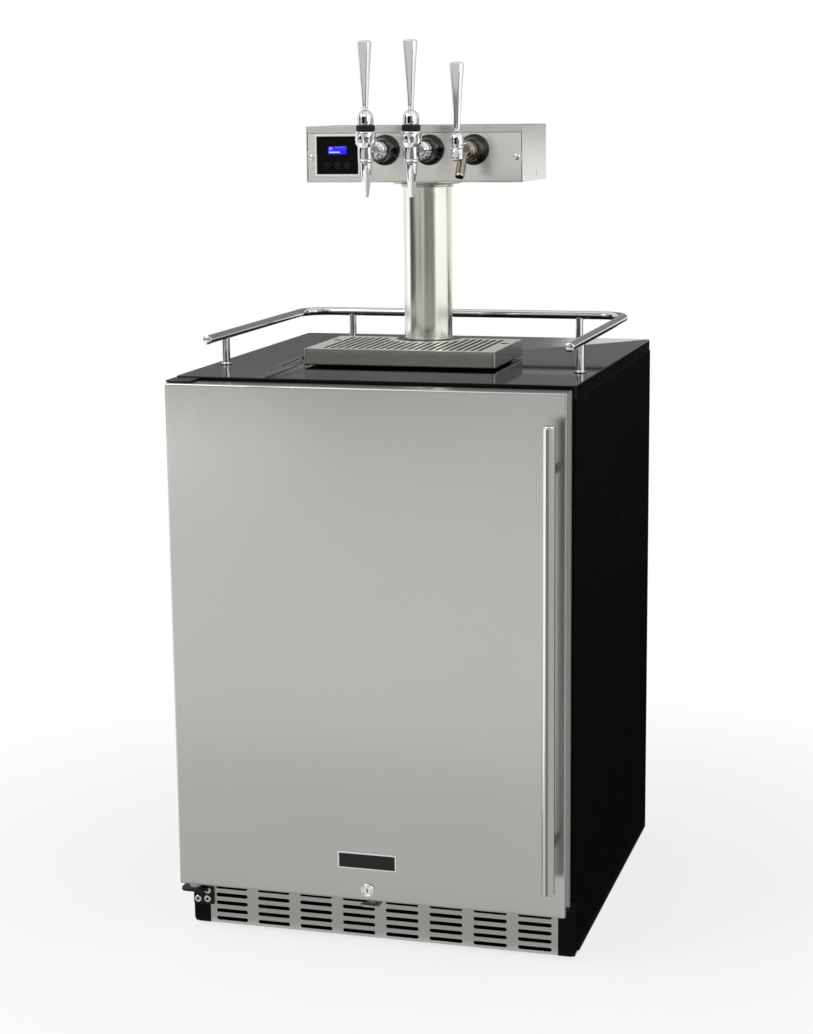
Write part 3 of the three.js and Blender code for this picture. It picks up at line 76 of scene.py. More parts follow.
MM = 0.001
TAU = 2 * math.pi
SHARP_ANGLE = math.radians(31)
FLAT_ANGLE = math.radians(0.6)
BEVEL_ANGLE = math.radians(40)
WELD = 2e-6
SAME_POINT = 1e-6

# Sizes and places in millimetres, and which taps are the stout ones
TAPS = (1, 2, 3)
STOUT_TAPS = (1, 2)
STOUT_PIVOT, PLAIN_PIVOT = 49, 18
STOUT_DOME, PLAIN_DOME = 12, 9.8
COLUMN_RADIUS = 38.1
HANDLE_RADIUS, HANDLE_POST_REACH = 9.5, 272.5
RAIL_RADIUS, RAIL_BEND = 6.8, 46
SKIN_SHEET = 1.2
FINGER_HOLE_INSET, FINGER_HOLE_BACK = 13.2, 52
FOOT_PITCH = 1.75
HINGE_SCREW_PLACES = ((-295.2, 43.6), (-279.6, 44.6), (-279.2, 58.4))
HINGE_SLEEVE_FOOT = (-283, -288.75, 80.15)
HEAD_SCREW_REACH, HEAD_SCREW_HEIGHT = 162, 1175.7


def box(node):
    """Lowest and highest corner of a CAD node, in millimetres."""
    low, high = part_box(node)
    return np.array(low) / MM, np.array(high) / MM


def middle(node):
    """The middle of a CAD node, in millimetres."""
    low, high = box(node)
    return (low + high) / 2


# Meshes from worked-out points

def placed(name, data):
    """A new object in the scene."""
    made = bpy.data.objects.new(name, data)
    bpy.context.scene.collection.objects.link(made)
    return made


def edit_mesh(mesh, weld=False, flatten=False, turn_out=False):
    """Welds points that meet, makes flat faces whole, and turns the faces outwards."""
    work = bmesh.new()
    work.from_mesh(mesh)
    if weld:
        bmesh.ops.remove_doubles(work, verts=work.verts, dist=WELD)
    if flatten:
        bmesh.ops.dissolve_limit(work, angle_limit=FLAT_ANGLE, verts=work.verts, edges=work.edges)
    if turn_out:
        bmesh.ops.recalc_face_normals(work, faces=work.faces)
    work.to_mesh(mesh)
    work.free()


def finish_piece(mesh, name, body, finish, replaces):
    """The object of a mesh, with its finish, its body and the nodes whose place it takes."""
    mesh.shade_smooth()
    mesh.set_sharp_from_angle(angle=SHARP_ANGLE)
    piece = placed(name, mesh)
    mesh.materials.append(material(finish))
    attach(piece, body)
    if replaces:
        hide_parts(*replaces)
    return piece


class Shell:
    """Collects closed surfaces of one piece as shared arrays of points and faces."""

    def __init__(self):
        self.points = []
        self.faces = []
        self.count = 0

    def add(self, points, faces):
        """Adds points, and faces that count those points from 0."""
        points = np.asarray(points, float).reshape(-1, 3)
        self.points.append(points)
        self.faces += [[i + self.count for i in face] for face in faces]
        self.count += len(points)
        return self

    def rings(self, rings, loop=False, ends=True):
        """A surface through rings of equal length: point (i, j) joins (i+1, j) and (i, j+1), j runs round.
        loop joins the last ring to the first. Otherwise ends closes each end with one face or, if its
        ring has shrunk to a point, with a fan."""
        rings = np.asarray(rings, float)
        rows, sides = rings.shape[:2]
        index = np.arange(rows * sides).reshape(rows, sides)
        near = index if loop else index[:-1]
        far = np.roll(index, -1, axis=0) if loop else index[1:]
        corners = (near, np.roll(near, -1, axis=1), np.roll(far, -1, axis=1), far)
        faces = np.stack(corners, -1).reshape(-1, 4).tolist()
        points = rings.reshape(-1, 3)
        if loop or not ends:
            return self.add(points, faces)
        for row, order in ((0, -1), (rows - 1, 1)):
            if np.ptp(rings[row], axis=0).max() < SAME_POINT:
                pole = int(index[row, 0])
                same = {int(i): pole for i in index[row]}
                faces = [list(dict.fromkeys(same.get(i, i) for i in face)) for face in faces]
            else:
                faces.append(index[row][::order].tolist())
        used = sorted({i for face in faces for i in face})
        place = {old: new for new, old in enumerate(used)}
        return self.add(points[used], [[place[i] for i in face] for face in faces])

    def turned(self, profile, centre, axis="Z", sides=64, ripple=None, loop=False):
        """A surface turned from a profile of (radius, height)."""
        return self.rings(turned_rings(profile, centre, axis, sides, ripple), loop)

    def walls(self, outline, rows, plane="front", loop=False, ends=True):
        """A surface through one outline at rows of (inset, depth)."""
        space = facing(plane)
        return self.rings([space(outline(inset), depth) for inset, depth in rows], loop, ends)

    def piece(self, name, slot, finish, replaces=(), body="cabinet", weld=False):
        """The object of these surfaces. weld joins the borders that they share."""
        mesh = bpy.data.meshes.new(name)
        mesh.from_pydata((np.concatenate(self.points) * MM).tolist(), [], self.faces)
        edit_mesh(mesh, weld=weld, turn_out=True)
        return finish_piece(mesh, name, body, finish, replaces)


AXES = {
    "Z": ((1, 0, 0), (0, 1, 0), (0, 0, 1)),
    "-Z": ((1, 0, 0), (0, 1, 0), (0, 0, -1)),
    "Y": ((1, 0, 0), (0, 0, 1), (0, 1, 0)),
    "-Y": ((1, 0, 0), (0, 0, 1), (0, -1, 0)),
    "X": ((0, 1, 0), (0, 0, 1), (1, 0, 0)),
    "-X": ((0, 1, 0), (0, 0, 1), (-1, 0, 0)),
}


def turned_rings(profile, centre, axis="Z", sides=64, ripple=None):
    """Rings of a turned form: centre + radius * (cos t, sin t) + height along the axis, t round the circle.
    ripple(t, height) adds to the radius."""
    across, up, along = (np.array(v, float) for v in AXES[axis])
    t = np.arange(sides) * TAU / sides
    radius, height = (np.repeat(v[:, None], sides, axis=1) for v in np.asarray(profile, float).T)
    if ripple:
        radius = radius + ripple(t, height)
    u, v = radius * np.cos(t), radius * np.sin(t)
    return np.array(centre, float) + u[..., None] * across + v[..., None] * up + height[..., None] * along


def rounded(profile, radius, steps=3):
    """A profile whose inner corners are replaced by short arcs: points on a quadratic curve from one side
    to the other, radius along each side. A point just off each arc keeps the straight parts flat."""
    profile = [np.array(p, float) for p in profile]
    made = [profile[0]]
    for before, corner, after in zip(profile, profile[1:], profile[2:]):
        a, b = before - corner, after - corner
        la, lb = np.linalg.norm(a), np.linalg.norm(b)
        reach = min(radius, la * 0.45, lb * 0.45)
        if reach < 1e-4:
            made.append(corner)
            continue
        start, end = corner + a / la * reach, corner + b / lb * reach
        if la > 5 * reach:
            made.append(corner + a / la * reach * 1.8)
        for s in np.linspace(0, 1, steps + 1):
            made.append((1 - s) ** 2 * start + 2 * s * (1 - s) * corner + s ** 2 * end)
        if lb > 5 * reach:
            made.append(corner + b / lb * reach * 1.8)
    made.append(profile[-1])
    return made


def swept_rings(path, radii, sides=24, up=(0, 0, 1)):
    """Rings of a tube: each path point + radius * (cos t * side + sin t * up), with side across the path."""
    path = np.asarray(path, float)
    tangent = np.gradient(path, axis=0)
    tangent /= np.linalg.norm(tangent, axis=1)[:, None]
    side = np.cross(tangent, np.array(up, float))
    side /= np.linalg.norm(side, axis=1)[:, None]
    lift = np.cross(side, tangent)
    t = np.arange(sides) * TAU / sides
    radii = np.broadcast_to(np.asarray(radii, float), (len(path),))
    return (path[:, None, :] + radii[:, None, None] * (np.cos(t)[None, :, None] * side[:, None, :]
            + np.sin(t)[None, :, None] * lift[:, None, :]))


def domed_ends(path, radius, dome, steps=4):
    """A path and radii that close a tube with two shallow domes: radius * cos a, dome * sin a beyond it."""
    path = np.asarray(path, float)
    angle = np.linspace(math.pi / 2, 0, steps + 1)[:-1]
    ends = [(path[0], path[0] - path[1]), (path[-1], path[-1] - path[-2])]
    inner, caps = path.copy(), []
    for row, (point, out) in zip((0, -1), ends):
        out = out / np.linalg.norm(out)
        inner[row] -= out * dome
        caps.append(point - out * dome + out * (dome * np.sin(angle))[:, None])
    rim = radius * np.cos(angle)
    radii = np.concatenate([rim, np.full(len(path), radius), rim[::-1]])
    radii[[0, -1]] = 0
    return np.concatenate([caps[0], inner, caps[1][::-1]]), radii


# Outlines: functions of an inset that return points of equal count, so that walls join one to one

def round_outline(u0, u1, v0, v1, radius, steps=6):
    """A rectangle with round corners. Points run along four quarter circles, moved in by the inset, with
    one more point on the straight side at each end of a circle where the sides are long."""
    corners = ((u1, v0, -1, 1, -90), (u1, v1, -1, -1, 0), (u0, v1, 1, -1, 90), (u0, v0, 1, 1, 180))
    long = min(u1 - u0, v1 - v0) - 2 * radius > 20

    def outline(inset):
        r = max(radius - inset, 0.02)
        points = []
        for u, v, su, sv, start in corners:
            a = np.radians(np.linspace(start, start + 90, steps + 1))
            cu, cv = u + su * (inset + r), v + sv * (inset + r)
            arc = np.stack([cu + r * np.cos(a), cv + r * np.sin(a)], -1)
            if long:
                before, after = (0.8 * np.array([-math.sin(b), math.cos(b)]) for b in (a[0], a[-1]))
                arc = np.concatenate([[arc[0] - before], arc, [arc[-1] + after]])
            points.append(arc)
        return np.concatenate(points)
    return outline


def round_hole(u, v, radius, sides=32):
    """A circle about (u, v)."""
    a = np.arange(sides) * TAU / sides
    return lambda inset: np.stack([u + (radius - inset) * np.cos(a), v + (radius - inset) * np.sin(a)], -1)


def slot_outline(u, v, length, width, along_v=False, steps=5):
    """A slot with round ends about (u, v)."""
    half = (width / 2, length / 2) if along_v else (length / 2, width / 2)
    return round_outline(u - half[0], u + half[0], v - half[1], v + half[1], width / 2 - 0.01, steps)


def facing(plane):
    """Turns outline points and a depth into object points. 'front' stands in X and Z with depth along +Y,
    and 'flat' lies in X and Y with depth downwards."""
    if plane == "front":
        return lambda uv, d: np.stack([uv[:, 0], np.full(len(uv), d), uv[:, 1]], -1)
    return lambda uv, d: np.stack([uv[:, 0], uv[:, 1], np.full(len(uv), d)], -1)


def plate(shell, outer, holes, near, far, chamfer, plane="front"):
    """A sheet between two depths. Each outline makes a wall of four rows, chamfered at both faces, and the
    two faces are filled between the outlines."""
    to_space = facing(plane)
    step = chamfer if far > near else -chamfer
    depths = (near, near + step, far - step, far)
    points, faces, count = [], [], 0
    front, back = [], []
    for k, outline in enumerate([outer, *holes]):
        grow = 1 if k == 0 else -1
        rows = [to_space(outline(grow * inset), d) for inset, d in zip((chamfer, 0, 0, chamfer), depths)]
        n = len(rows[0])
        index = np.arange(4 * n).reshape(4, n) + count
        after = np.roll(index, -1, axis=1)
        faces += np.stack([index[:-1], after[:-1], after[1:], index[1:]], -1).reshape(-1, 4).tolist()
        points += rows
        front.append((rows[0], index[0]))
        back.append((rows[3], index[3]))
        count += 4 * n
    for face in (front, back):
        lines = [[Vector(p) for p in ring] for ring, _ in face]
        order = np.concatenate([i for _, i in face])
        faces += [[int(order[i]) for i in triangle] for triangle in tessellate_polygon(lines)]
    return shell.add(np.concatenate(points), faces)


def worked_copy(node, finish, bevel=0.5, name=None, segments=2, above=None):
    """A copy of a CAD node with its corners merged, its flat faces made whole and its edges softened, or
    only the edges that lie above a height in millimetres."""
    source = frame["nodes"][node]
    mesh = source.data.copy()
    mesh.materials.clear()
    edit_mesh(mesh, weld=True, flatten=True)
    piece = finish_piece(mesh, name or node + "_formed", source["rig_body"], finish, (node,))
    if not bevel:
        return
    modifier = piece.modifiers.new("soft_edges", "BEVEL")
    modifier.width = bevel * MM
    modifier.segments = segments
    modifier.limit_method = "ANGLE"
    modifier.angle_limit = BEVEL_ANGLE
    modifier.harden_normals = True
    modifier.use_clamp_overlap = True
    if above is not None:
        places = np.empty(len(mesh.vertices) * 3)
        mesh.vertices.foreach_get("co", places)
        ends = np.empty(len(mesh.edges) * 2, np.int32)
        mesh.edges.foreach_get("vertices", ends)
        raised = places[2::3][ends].reshape(-1, 2).min(1) > above * MM
        weights = mesh.attributes.new("bevel_weight_edge", "FLOAT", "EDGE")
        weights.data.foreach_set("value", raised.astype(np.float32))
        modifier.limit_method = "WEIGHT"


def screw_head(shell, centre, axis, radius, height):
    """A pan head with a cross recess: over polar points (r, t) the height falls as 1 - 0.7 (r / R)^2, and
    sinks where the point is inside either arm of the cross."""
    across, up, along = (np.array(v, float) for v in AXES[axis])
    sides, rows = 40, 13
    t = np.arange(sides) * TAU / sides
    share = np.linspace(0, 1, rows)[:, None]
    u, v = share * radius * np.cos(t), share * radius * np.sin(t)
    lift = height * (1 - 0.7 * share ** 2) + 0 * u
    arm, reach = radius * 0.15, radius * 0.62
    inside = ((abs(u) < arm) & (abs(v) < reach)) | ((abs(v) < arm) & (abs(u) < reach))
    lift = np.where(inside, lift - height * 0.6 * (1 - 0.5 * np.hypot(u, v) / radius), lift)
    centre = np.array(centre, float)
    top = centre + u[..., None] * across + v[..., None] * up + lift[..., None] * along
    skirt = centre + (radius * np.cos(t))[:, None] * across + (radius * np.sin(t))[:, None] * up
    bottom = np.repeat(centre[None, :], sides, 0)
    shell.rings(np.concatenate([top, skirt[None], bottom[None]]))


def button_head(shell, centre, axis, radius, height):
    """A low round head with a round driving recess, turned from a profile of shares of its size."""
    shares = [(0, 0.6), (0.16, 0.6), (0.2, 0.35), (0.38, 0.35), (0.42, 0.92), (0.48, 1), (0.82, 0.96),
              (0.95, 0.8), (1, 0.5), (1, 0), (0, 0)]
    profile = rounded([(u * radius, v * height) for u, v in shares], 0.25)
    shell.turned(profile, centre, axis, 40)


# Finishes

class Wire:
    """A socket that does sums: each operator adds a Math node that takes this value and the other."""

    def __init__(self, nodes, socket):
        self.nodes, self.socket = nodes, socket

    def maths(self, operation, *others):
        """A Math node of this operation on this value and the others."""
        values = dict(enumerate((self, *others)))
        return self.nodes.node("Math", {"operation": operation}, values)

    def __add__(self, other):
        return self.maths("ADD", other)

    def __sub__(self, other):
        return self.maths("SUBTRACT", other)

    def __rsub__(self, other):
        return self * -1 + other

    def __mul__(self, other):
        return self.maths("MULTIPLY", other)

    def __truediv__(self, other):
        return self.maths("DIVIDE", other)

    def __pow__(self, other):
        return self.maths("POWER", other)

    __radd__, __rmul__ = __add__, __mul__

    def over(self, edge, softness):
        """0 below the edge and 1 above it, smoothly across the softness."""
        return self.nodes.node("MapRange", {"interpolation_type": "SMOOTHSTEP"}, {
            "Value": self, "From Min": edge - softness, "From Max": edge + softness}, "Result")


class Nodes:
    """The node tree of a material or a world."""

    def __init__(self, owner):
        owner.use_nodes = True
        self.tree = owner.node_tree

    def feed(self, socket, value):
        """Links a wire to a socket, or sets a plain value there."""
        if isinstance(value, Wire):
            self.tree.links.new(value.socket, socket)
        elif value is not None:
            socket.default_value = value

    def node(self, kind, settings=None, inputs=None, output=0):
        """A node with its settings and then its sockets' values or links, as a wire from one output."""
        node = self.tree.nodes.new("ShaderNode" + kind)
        for key, value in (settings or {}).items():
            setattr(node, key, value)
        for key, value in (inputs or {}).items():
            self.feed(node.inputs[key], value)
        return Wire(self, node.outputs[output])

    def ray(self, kind):
        """1 for rays of this kind and 0 for the rest."""
        return self.node("LightPath", output=f"Is {kind} Ray")

    def surface(self, shader):
        """Makes a shader the one that shows."""
        end = next(n for n in self.tree.nodes if n.type.startswith("OUTPUT"))
        self.feed(end.inputs["Surface"], shader)


class Paint(Nodes):
    """One finish: a Principled shader whose constants are its own, and whose varying sockets are wired."""

    def __init__(self, name, colour, metallic, roughness, **constants):
        self.material = bpy.data.materials.new(name)
        super().__init__(self.material)
        self.shader = self.tree.nodes["Principled BSDF"]
        self.colour = (*colour, 1.0)
        self.set("Base Color", self.colour)
        self.set("Metallic", metallic)
        self.set("Roughness", roughness)
        for socket, value in constants.items():
            self.set(socket, value)
        self.coordinates = self.node("TexCoord", output="Object")
        self.material.diffuse_color = self.colour

    def set(self, socket, value):
        """A value or a wire for one of the shader's sockets."""
        self.feed(self.shader.inputs[socket], value)
        return self

    def place(self, scale=(1, 1, 1)):
        """Object coordinates counted in millimetres, then scaled."""
        return self.node("Mapping", None, {
            "Vector": self.coordinates, "Scale": [s / MM for s in scale]})

    def noise(self, scale, detail=3.0, rough=0.5, size=(1, 1, 1)):
        """Noise whose lumps are 1 / scale millimetres, stretched by the sizes."""
        return self.node("TexNoise", None, {
            "Vector": self.place([scale / s for s in size]), "Scale": 1.0, "Detail": detail,
            "Roughness": rough}, "Fac")

    def cells(self, scale, output="Distance"):
        """Cells about 1 / scale millimetres wide."""
        vector = self.place([scale] * 3)
        return self.node("TexVoronoi", None, {"Vector": vector, "Scale": 1.0}, output)

    def cloud_and_dust(self):
        """Broad faint clouds, and rare fine specks."""
        return self.noise(0.02, 3.0, 0.5), self.noise(4.0, 1.0, 0.5).over(0.7, 0.06)

    def wave(self, letter, pitch):
        """A sine along one axis, with its pitch in millimetres."""
        return (self.axis(letter) * (TAU / pitch)).maths("SINE")

    def axis(self, letter):
        """One of the object's own coordinates, in millimetres."""
        return self.node("SeparateXYZ", None, {0: self.place()}, letter)

    def mix(self, share, first, second):
        """From the first colour at share 0 to the second at 1."""
        return self.node("Mix", {"data_type": "RGBA"}, {0: share, 6: first, 7: second}, 2)

    def tone(self, share, low, high):
        """The base colour between two strengths of itself."""
        dark, light = ([c * k for c in self.colour[:3]] + [1.0] for k in (low, high))
        return self.mix(share, dark, light)

    def crooked(self, height, strength, depth):
        """Relief, with its depth in millimetres."""
        return self.set("Normal", self.node("Bump", None, {
            "Height": height, "Strength": strength, "Distance": depth * MM}))


def linear(code):
    """Linear colour from a six-digit screen colour."""
    values = np.array([code >> 16, code >> 8 & 255, code & 255]) / 255
    return tuple(np.where(values <= 0.04045, values / 12.92, ((values + 0.055) / 1.055) ** 2.4).tolist())


def brushed(name, colour, along, roughness=0.3, contrast=0.12, length=120.0, relief=0.004, painted_shade=None,
            metallic=1.0):
    """Sheet steel with a fine grain: noise drawn out along one axis, over broad faint clouds. The optional
    mask function gives the share of each place that gets painted shade, a fifth darker."""
    size = [length if letter in along else 1.0 for letter in "XYZ"]
    paint = Paint(name, colour, metallic, roughness)
    fine = paint.noise(3.2, 2.0, 0.6, size)
    broad = paint.noise(0.5, 3.0, 0.6, size)
    cloud = paint.noise(0.006, 2.0, 0.5)
    grain = fine * 0.5 + broad * 0.5
    shade = paint.tone(grain * 0.75 + cloud * 0.25, 1 - contrast, 1 + contrast)
    # painted shade: where the mask is 1 the colour is a fifth darker
    if painted_shade:
        shade = paint.mix(painted_shade(paint), shade, (*[c * 0.8 for c in colour], 1.0))
    paint.set("Base Color", shade)
    paint.set("Roughness", (grain - 0.5) * 0.16 + (cloud - 0.5) * 0.08 + roughness)
    return paint.crooked(grain, 0.35, relief).material


def polished(name, colour, roughness=0.05, smudge=0.08):
    """Bright plating: nearly a mirror, with faint clouds where it was wiped and rare fine scratches."""
    paint = Paint(name, colour, 1.0, roughness)
    wipe = paint.noise(0.08, 4.0, 0.6, (1, 1, 2.5))
    scratch = paint.noise(2.5, 1.0, 0.5, (1, 1, 30)).over(0.72, 0.04)
    paint.set("Roughness", (wipe - 0.5) * smudge + scratch * 0.08 + roughness)
    paint.set("Base Color", paint.tone(wipe, 0.94, 1.04))
    return paint.crooked(wipe, 0.1, 0.02).material


def painted(name, colour, roughness, peel, grain, speck, ior=None):
    """Powder coat or moulded plastic: low bumps a few tenths across, clouds in the gloss, fine dust."""
    paint = Paint(name, colour, 0.0, roughness, IOR=ior)
    skin = paint.noise(grain, 3.0, 0.55)
    cloud, dust = paint.cloud_and_dust()
    paint.set("Base Color", paint.tone(cloud * 0.6 + dust * 0.9, 1 - speck, 1 + 2 * speck))
    paint.set("Roughness", (cloud - 0.5) * 0.12 + dust * 0.1 + roughness)
    return paint.crooked(skin, 0.5, peel).material


def head_box(name, colour, *numbers):
    """The head's steel, with painted shade, a fifth darker, on the narrow lip above the front sheet."""
    low, _ = box("head_shell")
    _, sheet = box("head_front_panel")

    # mask of the lip that gets the painted shade
    def lip(paint):
        return paint.axis("Z").over(sheet[2] + 0.2, 0.2) * (1 - paint.axis("Y").over(low[1] + 1.0, 0.3))
    return brushed(name, colour, *numbers, lip)


def zinc(name, colour):
    """Zinc plate: angular crystals a few millimetres wide, each its own shade."""
    paint = Paint(name, colour, 1.0, 0.38)
    spangle = paint.node("SeparateColor", None, {0: paint.cells(0.3, "Color")})
    haze = paint.noise(0.4, 4.0, 0.6)
    paint.set("Base Color", paint.tone(spangle * 0.5 + haze * 0.5, 0.85, 1.12))
    paint.set("Roughness", spangle * 0.12 + haze * 0.1 + 0.28)
    return paint.crooked(haze, 0.3, 0.02).material


def gloss_top(name, colour):
    """Clear gloss on the upper face; the turned-down sides are as rough as the side panels."""
    paint = Paint(name, colour, 0.0, 0.2, IOR=1.21)
    cloud, dust = paint.cloud_and_dust()
    _, top = box("top_panel")
    paint.set("Base Color", paint.tone(cloud * 0.6 + dust * 0.9, 0.8, 1.4))
    gloss = paint.axis("Z").over(top[2] - 1.6, 1.2)
    paint.set("Roughness", (cloud - 0.5) * (1 - gloss) * 0.12 - gloss * 0.16 + 0.22)
    return paint.crooked(paint.noise(0.12, 3.0, 0.55), 0.5, 0.0004).material


def lit_window(name, colour):
    """Blue with faint rows of its lamps."""
    paint = Paint(name, colour, 0.0, 0.2)
    cell, row = paint.wave("X", 0.6), paint.wave("Z", 0.6)
    glow = paint.noise(0.1, 2.0)
    paint.set("Emission Color", paint.tone(cell * 0.06 + row * 0.06 + glow * 0.5 + 0.3, 0.7, 1.2))
    return paint.set("Emission Strength", 0.86).material


def lit_mark(name, colour):
    """The window's bright marks, a little uneven."""
    paint = Paint(name, colour, 0.0, 0.3)
    paint.set("Emission Color", paint.tone(paint.noise(0.8, 2.0), 0.8, 1.1))
    return paint.set("Emission Strength", 0.55).material


def foamed(name, colour, roughness, cells, share, noise, tones, relief):
    """Foam: cells under a millimetre wide, in shade and in relief, over faint clouds."""
    paint = Paint(name, colour, 0.0, roughness)
    cell = paint.cells(cells)
    paint.set("Base Color", paint.tone(cell * share + paint.noise(noise) * (1 - share), *tones))
    return paint.crooked(cell, *relief).material


def finned(name, colour):
    """Aluminium fins: thin upright leaves 2.2 mm apart, shown as a ripple in relief and as painted shade in
    the gaps between the leaves.
    """
    paint = Paint(name, colour, 1.0, 0.42)
    leaf = paint.wave("X", 2.2) * 0.5 + 0.5
    # painted shade: the gaps between the leaves fall to about a third of the colour
    paint.set("Base Color", paint.tone(leaf * 0.8 + paint.noise(0.1) * 0.2, 0.35, 1.1))
    return paint.crooked(leaf, 0.9, 0.5).material


# Each material's maker, its colour (a screen colour or the name of a look) and the maker's numbers
FINISHES = {
    "door_steel": (brushed, "door", "Z", 0.21, 0.035, 160.0, 0.002),
    "grille_steel": (brushed, "door", "X", 0.33, 0.08),
    "tray_steel": (brushed, "tray", "X", 0.27, 0.09),
    "head_steel": (brushed, "head", "X", 0.25, 0.018, 200.0, 0.0012),
    # the head box's steel carries painted shade on the lip above the front sheet
    "head_box_steel": (head_box, "head", "X", 0.25, 0.018, 200.0, 0.0012),
    # painted light: a paler, partly non-metal copy of the tray's steel, so that the grid's upper face reads
    # lit
    "grid_steel": (brushed, 0xe6e5e1, "Y", 0.3, 0.08, 60.0, 0.004, None, 0.3),
    "post_steel": (brushed, 0x8f8e8c, "Y", 0.24, 0.05, 30.0, 0.002),
    "column_steel": (brushed, "column", "Z", 0.19, 0.02, 260.0, 0.0003),
    "handle_steel": (brushed, "handle", "Z", 0.13, 0.03, 200.0, 0.0005),
    "collar_steel": (polished, 0xb2b1aa, 0.16),
    "screw_steel": (polished, 0xd9d9d5, 0.2),
    "rail_steel": (polished, "rail", 0.1),
    "tap_chrome": (polished, "chrome", 0.035, 0.04),
    "spout_nickel": (polished, "nickel", 0.045),
    # nickel plating, darker than the spout's, as painted shade for the dark surroundings the coupling
    # reflects
    "coupling_nickel": (polished, 0x9c968a, 0.035),
    "side_paint": (painted, "sides", 0.24, 0.004, 0.9, 0.1, 1.17),
    "hinge_paint": (painted, "sides", 0.3, 0.012, 1.1, 0.15, 1.35),
    "black_plastic": (painted, "plastic", 0.36, 0.01, 1.6, 0.12, 1.35),
    "flange_plastic": (painted, "plastic", 0.12, 0.05, 0.3, 0.1, 1.38),
    "key_plastic": (painted, 0x060607, 0.25, 0.004, 2.0, 0.1, 1.2),
    "key_mark": (painted, 0x4a4b4d, 0.5, 0.004, 2.0, 0.05, 1.2),
    "display_gloss": (painted, 0x020203, 0.07, 0.0006, 0.2, 0.1, 1.2),
    "nylon": (painted, 0xd8d8d4, 0.35, 0.004, 1.0, 0.05),
    "bezel_plastic": (painted, 0xe2e2e0, 0.34, 0.006, 2.0, 0.02),
    "white_liner": (painted, 0xe4e6e6, 0.34, 0.02, 0.25, 0.02),
    "gasket_rubber": (painted, 0x2b2c2e, 0.62, 0.02, 1.4, 0.12),
    "motor_paint": (painted, 0x111112, 0.35, 0.02, 0.6, 0.15),
    "zinc_plate": (zinc, 0xa9abaa),
    "top_gloss": (gloss_top, "top"),
    "screen_blue": (lit_window, "screen"),
    "screen_light": (lit_mark, 0xc8d4ff),
    "rigid_foam": (foamed, 0xd9cfa2, 0.9, 1.3, 0.5, 0.05, (0.8, 1.1), (0.7, 0.4)),
    "sleeve_foam": (foamed, 0x33343a, 0.85, 0.9, 0.4, 0.1, (0.75, 1.3), (0.5, 0.25)),
    "condenser_fins": (finned, 0xa8aaab),
}
made_materials = {}


def material(name):
    """The material of a name in the table, made when it is first asked for."""
    if name not in made_materials:
        maker, colour, *numbers = FINISHES[name]
        looks = bpy.context.scene.dispenser_looks
        colour = getattr(looks, colour) if isinstance(colour, str) else linear(colour)
        made_materials[name] = maker(name, colour, *numbers)
    return made_materials[name]


# Sizes and colours a user would change

def length(name, description, millimetres):
    """A size in metres."""
    return FloatProperty(name=name, description=description, default=millimetres * MM, min=0.0,
                         unit="LENGTH", subtype="DISTANCE")


def shade(name, description, code):
    """A colour, from its six-digit screen colour."""
    return FloatVectorProperty(name=name, description=description, default=linear(code), size=3,
                               min=0.0, max=1.0, subtype="COLOR")


class DispenserSizes(bpy.types.PropertyGroup):
    """Details that the solids leave plain."""

    door_edge: length("Door edge", "Radius of the folded edges of the door skin", 2.4)
    sheet_edge: length("Sheet edge", "Rounding of the sheet metal's cut and folded edges", 0.5)
    top_edge: length("Worktop edge", "Rounding of the worktop's upper edge", 1.8)
    scallops: IntProperty(
        name="Scallops", description="Finger scallops round a stout body", default=10, min=3)
    scallop_depth: length("Scallop depth", "How deep a finger scallop is cut", 1.3)
    knurls: IntProperty(name="Knurls", description="Grip grooves round a cap ring", default=28, min=6)
    knurl_depth: length("Knurl depth", "Depth of a grip groove", 0.55)
    lever_slot: length("Lever slot", "Width of the slot that the lever swings in", 3.6)
    hinge_screw: length("Hinge screw", "Radius of the hinge plate's screw heads", 5.6)
    cover_screw: length("Cover screw", "Radius of the back panels' screw heads", 3.4)


class DispenserLooks(bpy.types.PropertyGroup):
    """Colours of the finishes."""

    door: shade("Door and grille", "Brushed sheet steel of the door and grille", 0xb9b8b5)
    head: shade("Head", "Brushed sheet steel of the dispensing head", 0xe9e8e3)
    tray: shade("Drip tray", "Brushed sheet steel of the tray", 0x9f9e9b)
    column: shade("Column", "Fine brushed tube of the column", 0xe4e4da)
    rail: shade("Rail", "Polished tube of the guard rail", 0xcfd0cd)
    handle: shade("Handle", "Fine brushed tube of the door handle", 0xd2d1cf)
    chrome: shade("Chrome", "Plating of the faucets and levers", 0xe4e5e6)
    nickel: shade("Nickel", "Darker plating of the plain faucet's spout", 0xa09b8d)
    top: shade("Worktop", "Gloss black coat of the worktop", 0x070707)
    sides: shade("Cabinet paint", "Black powder coat of the cabinet", 0x070707)
    plastic: shade("Black plastic", "Moulded flanges, rings and feet", 0x080808)
    screen: shade("Screen", "Lit colour of the display window", 0x1a0ed0)


def sizes():
    """The sizes that a user would change."""
    return bpy.context.scene.dispenser_sizes


# Cabinet

def cabinet_panels():
    """The painted panels, the gloss worktop and the inner tub, with their edges softened."""
    edge = sizes().sheet_edge / MM
    for node in ("side_panel_left", "side_panel_right", "back_panel", "machine_cover", "base_pan"):
        worked_copy(node, "side_paint", edge * (0.5 if "side" in node else 1))
    _, top = box("top_panel")
    worked_copy("top_panel", "top_gloss", sizes().top_edge / MM, segments=3, above=top[2] - 1)
    worked_copy("liner_tub", "white_liner", 1.2)


def cabinet_screws():
    """Pan-head screws round the back panel and the machine cover."""
    low, high = box("back_panel")
    cover_low, cover_high = box("machine_cover")
    radius = sizes().cover_screw / MM
    back = high[1] - 1.2
    places = [(x, z) for x in (low[0] + 9, high[0] - 9) for z in np.linspace(low[2] + 24, high[2] - 14, 4)]
    places += [(x, cover_high[2] - 10) for x in np.linspace(cover_low[0] + 9, cover_high[0] - 9, 5)]
    shell = Shell()
    for x, z in places:
        screw_head(shell, (x, back + 0.1, z), "Y", radius, 1.0)
    shell.piece("back_screws", "zinc_steel", "zinc_plate")


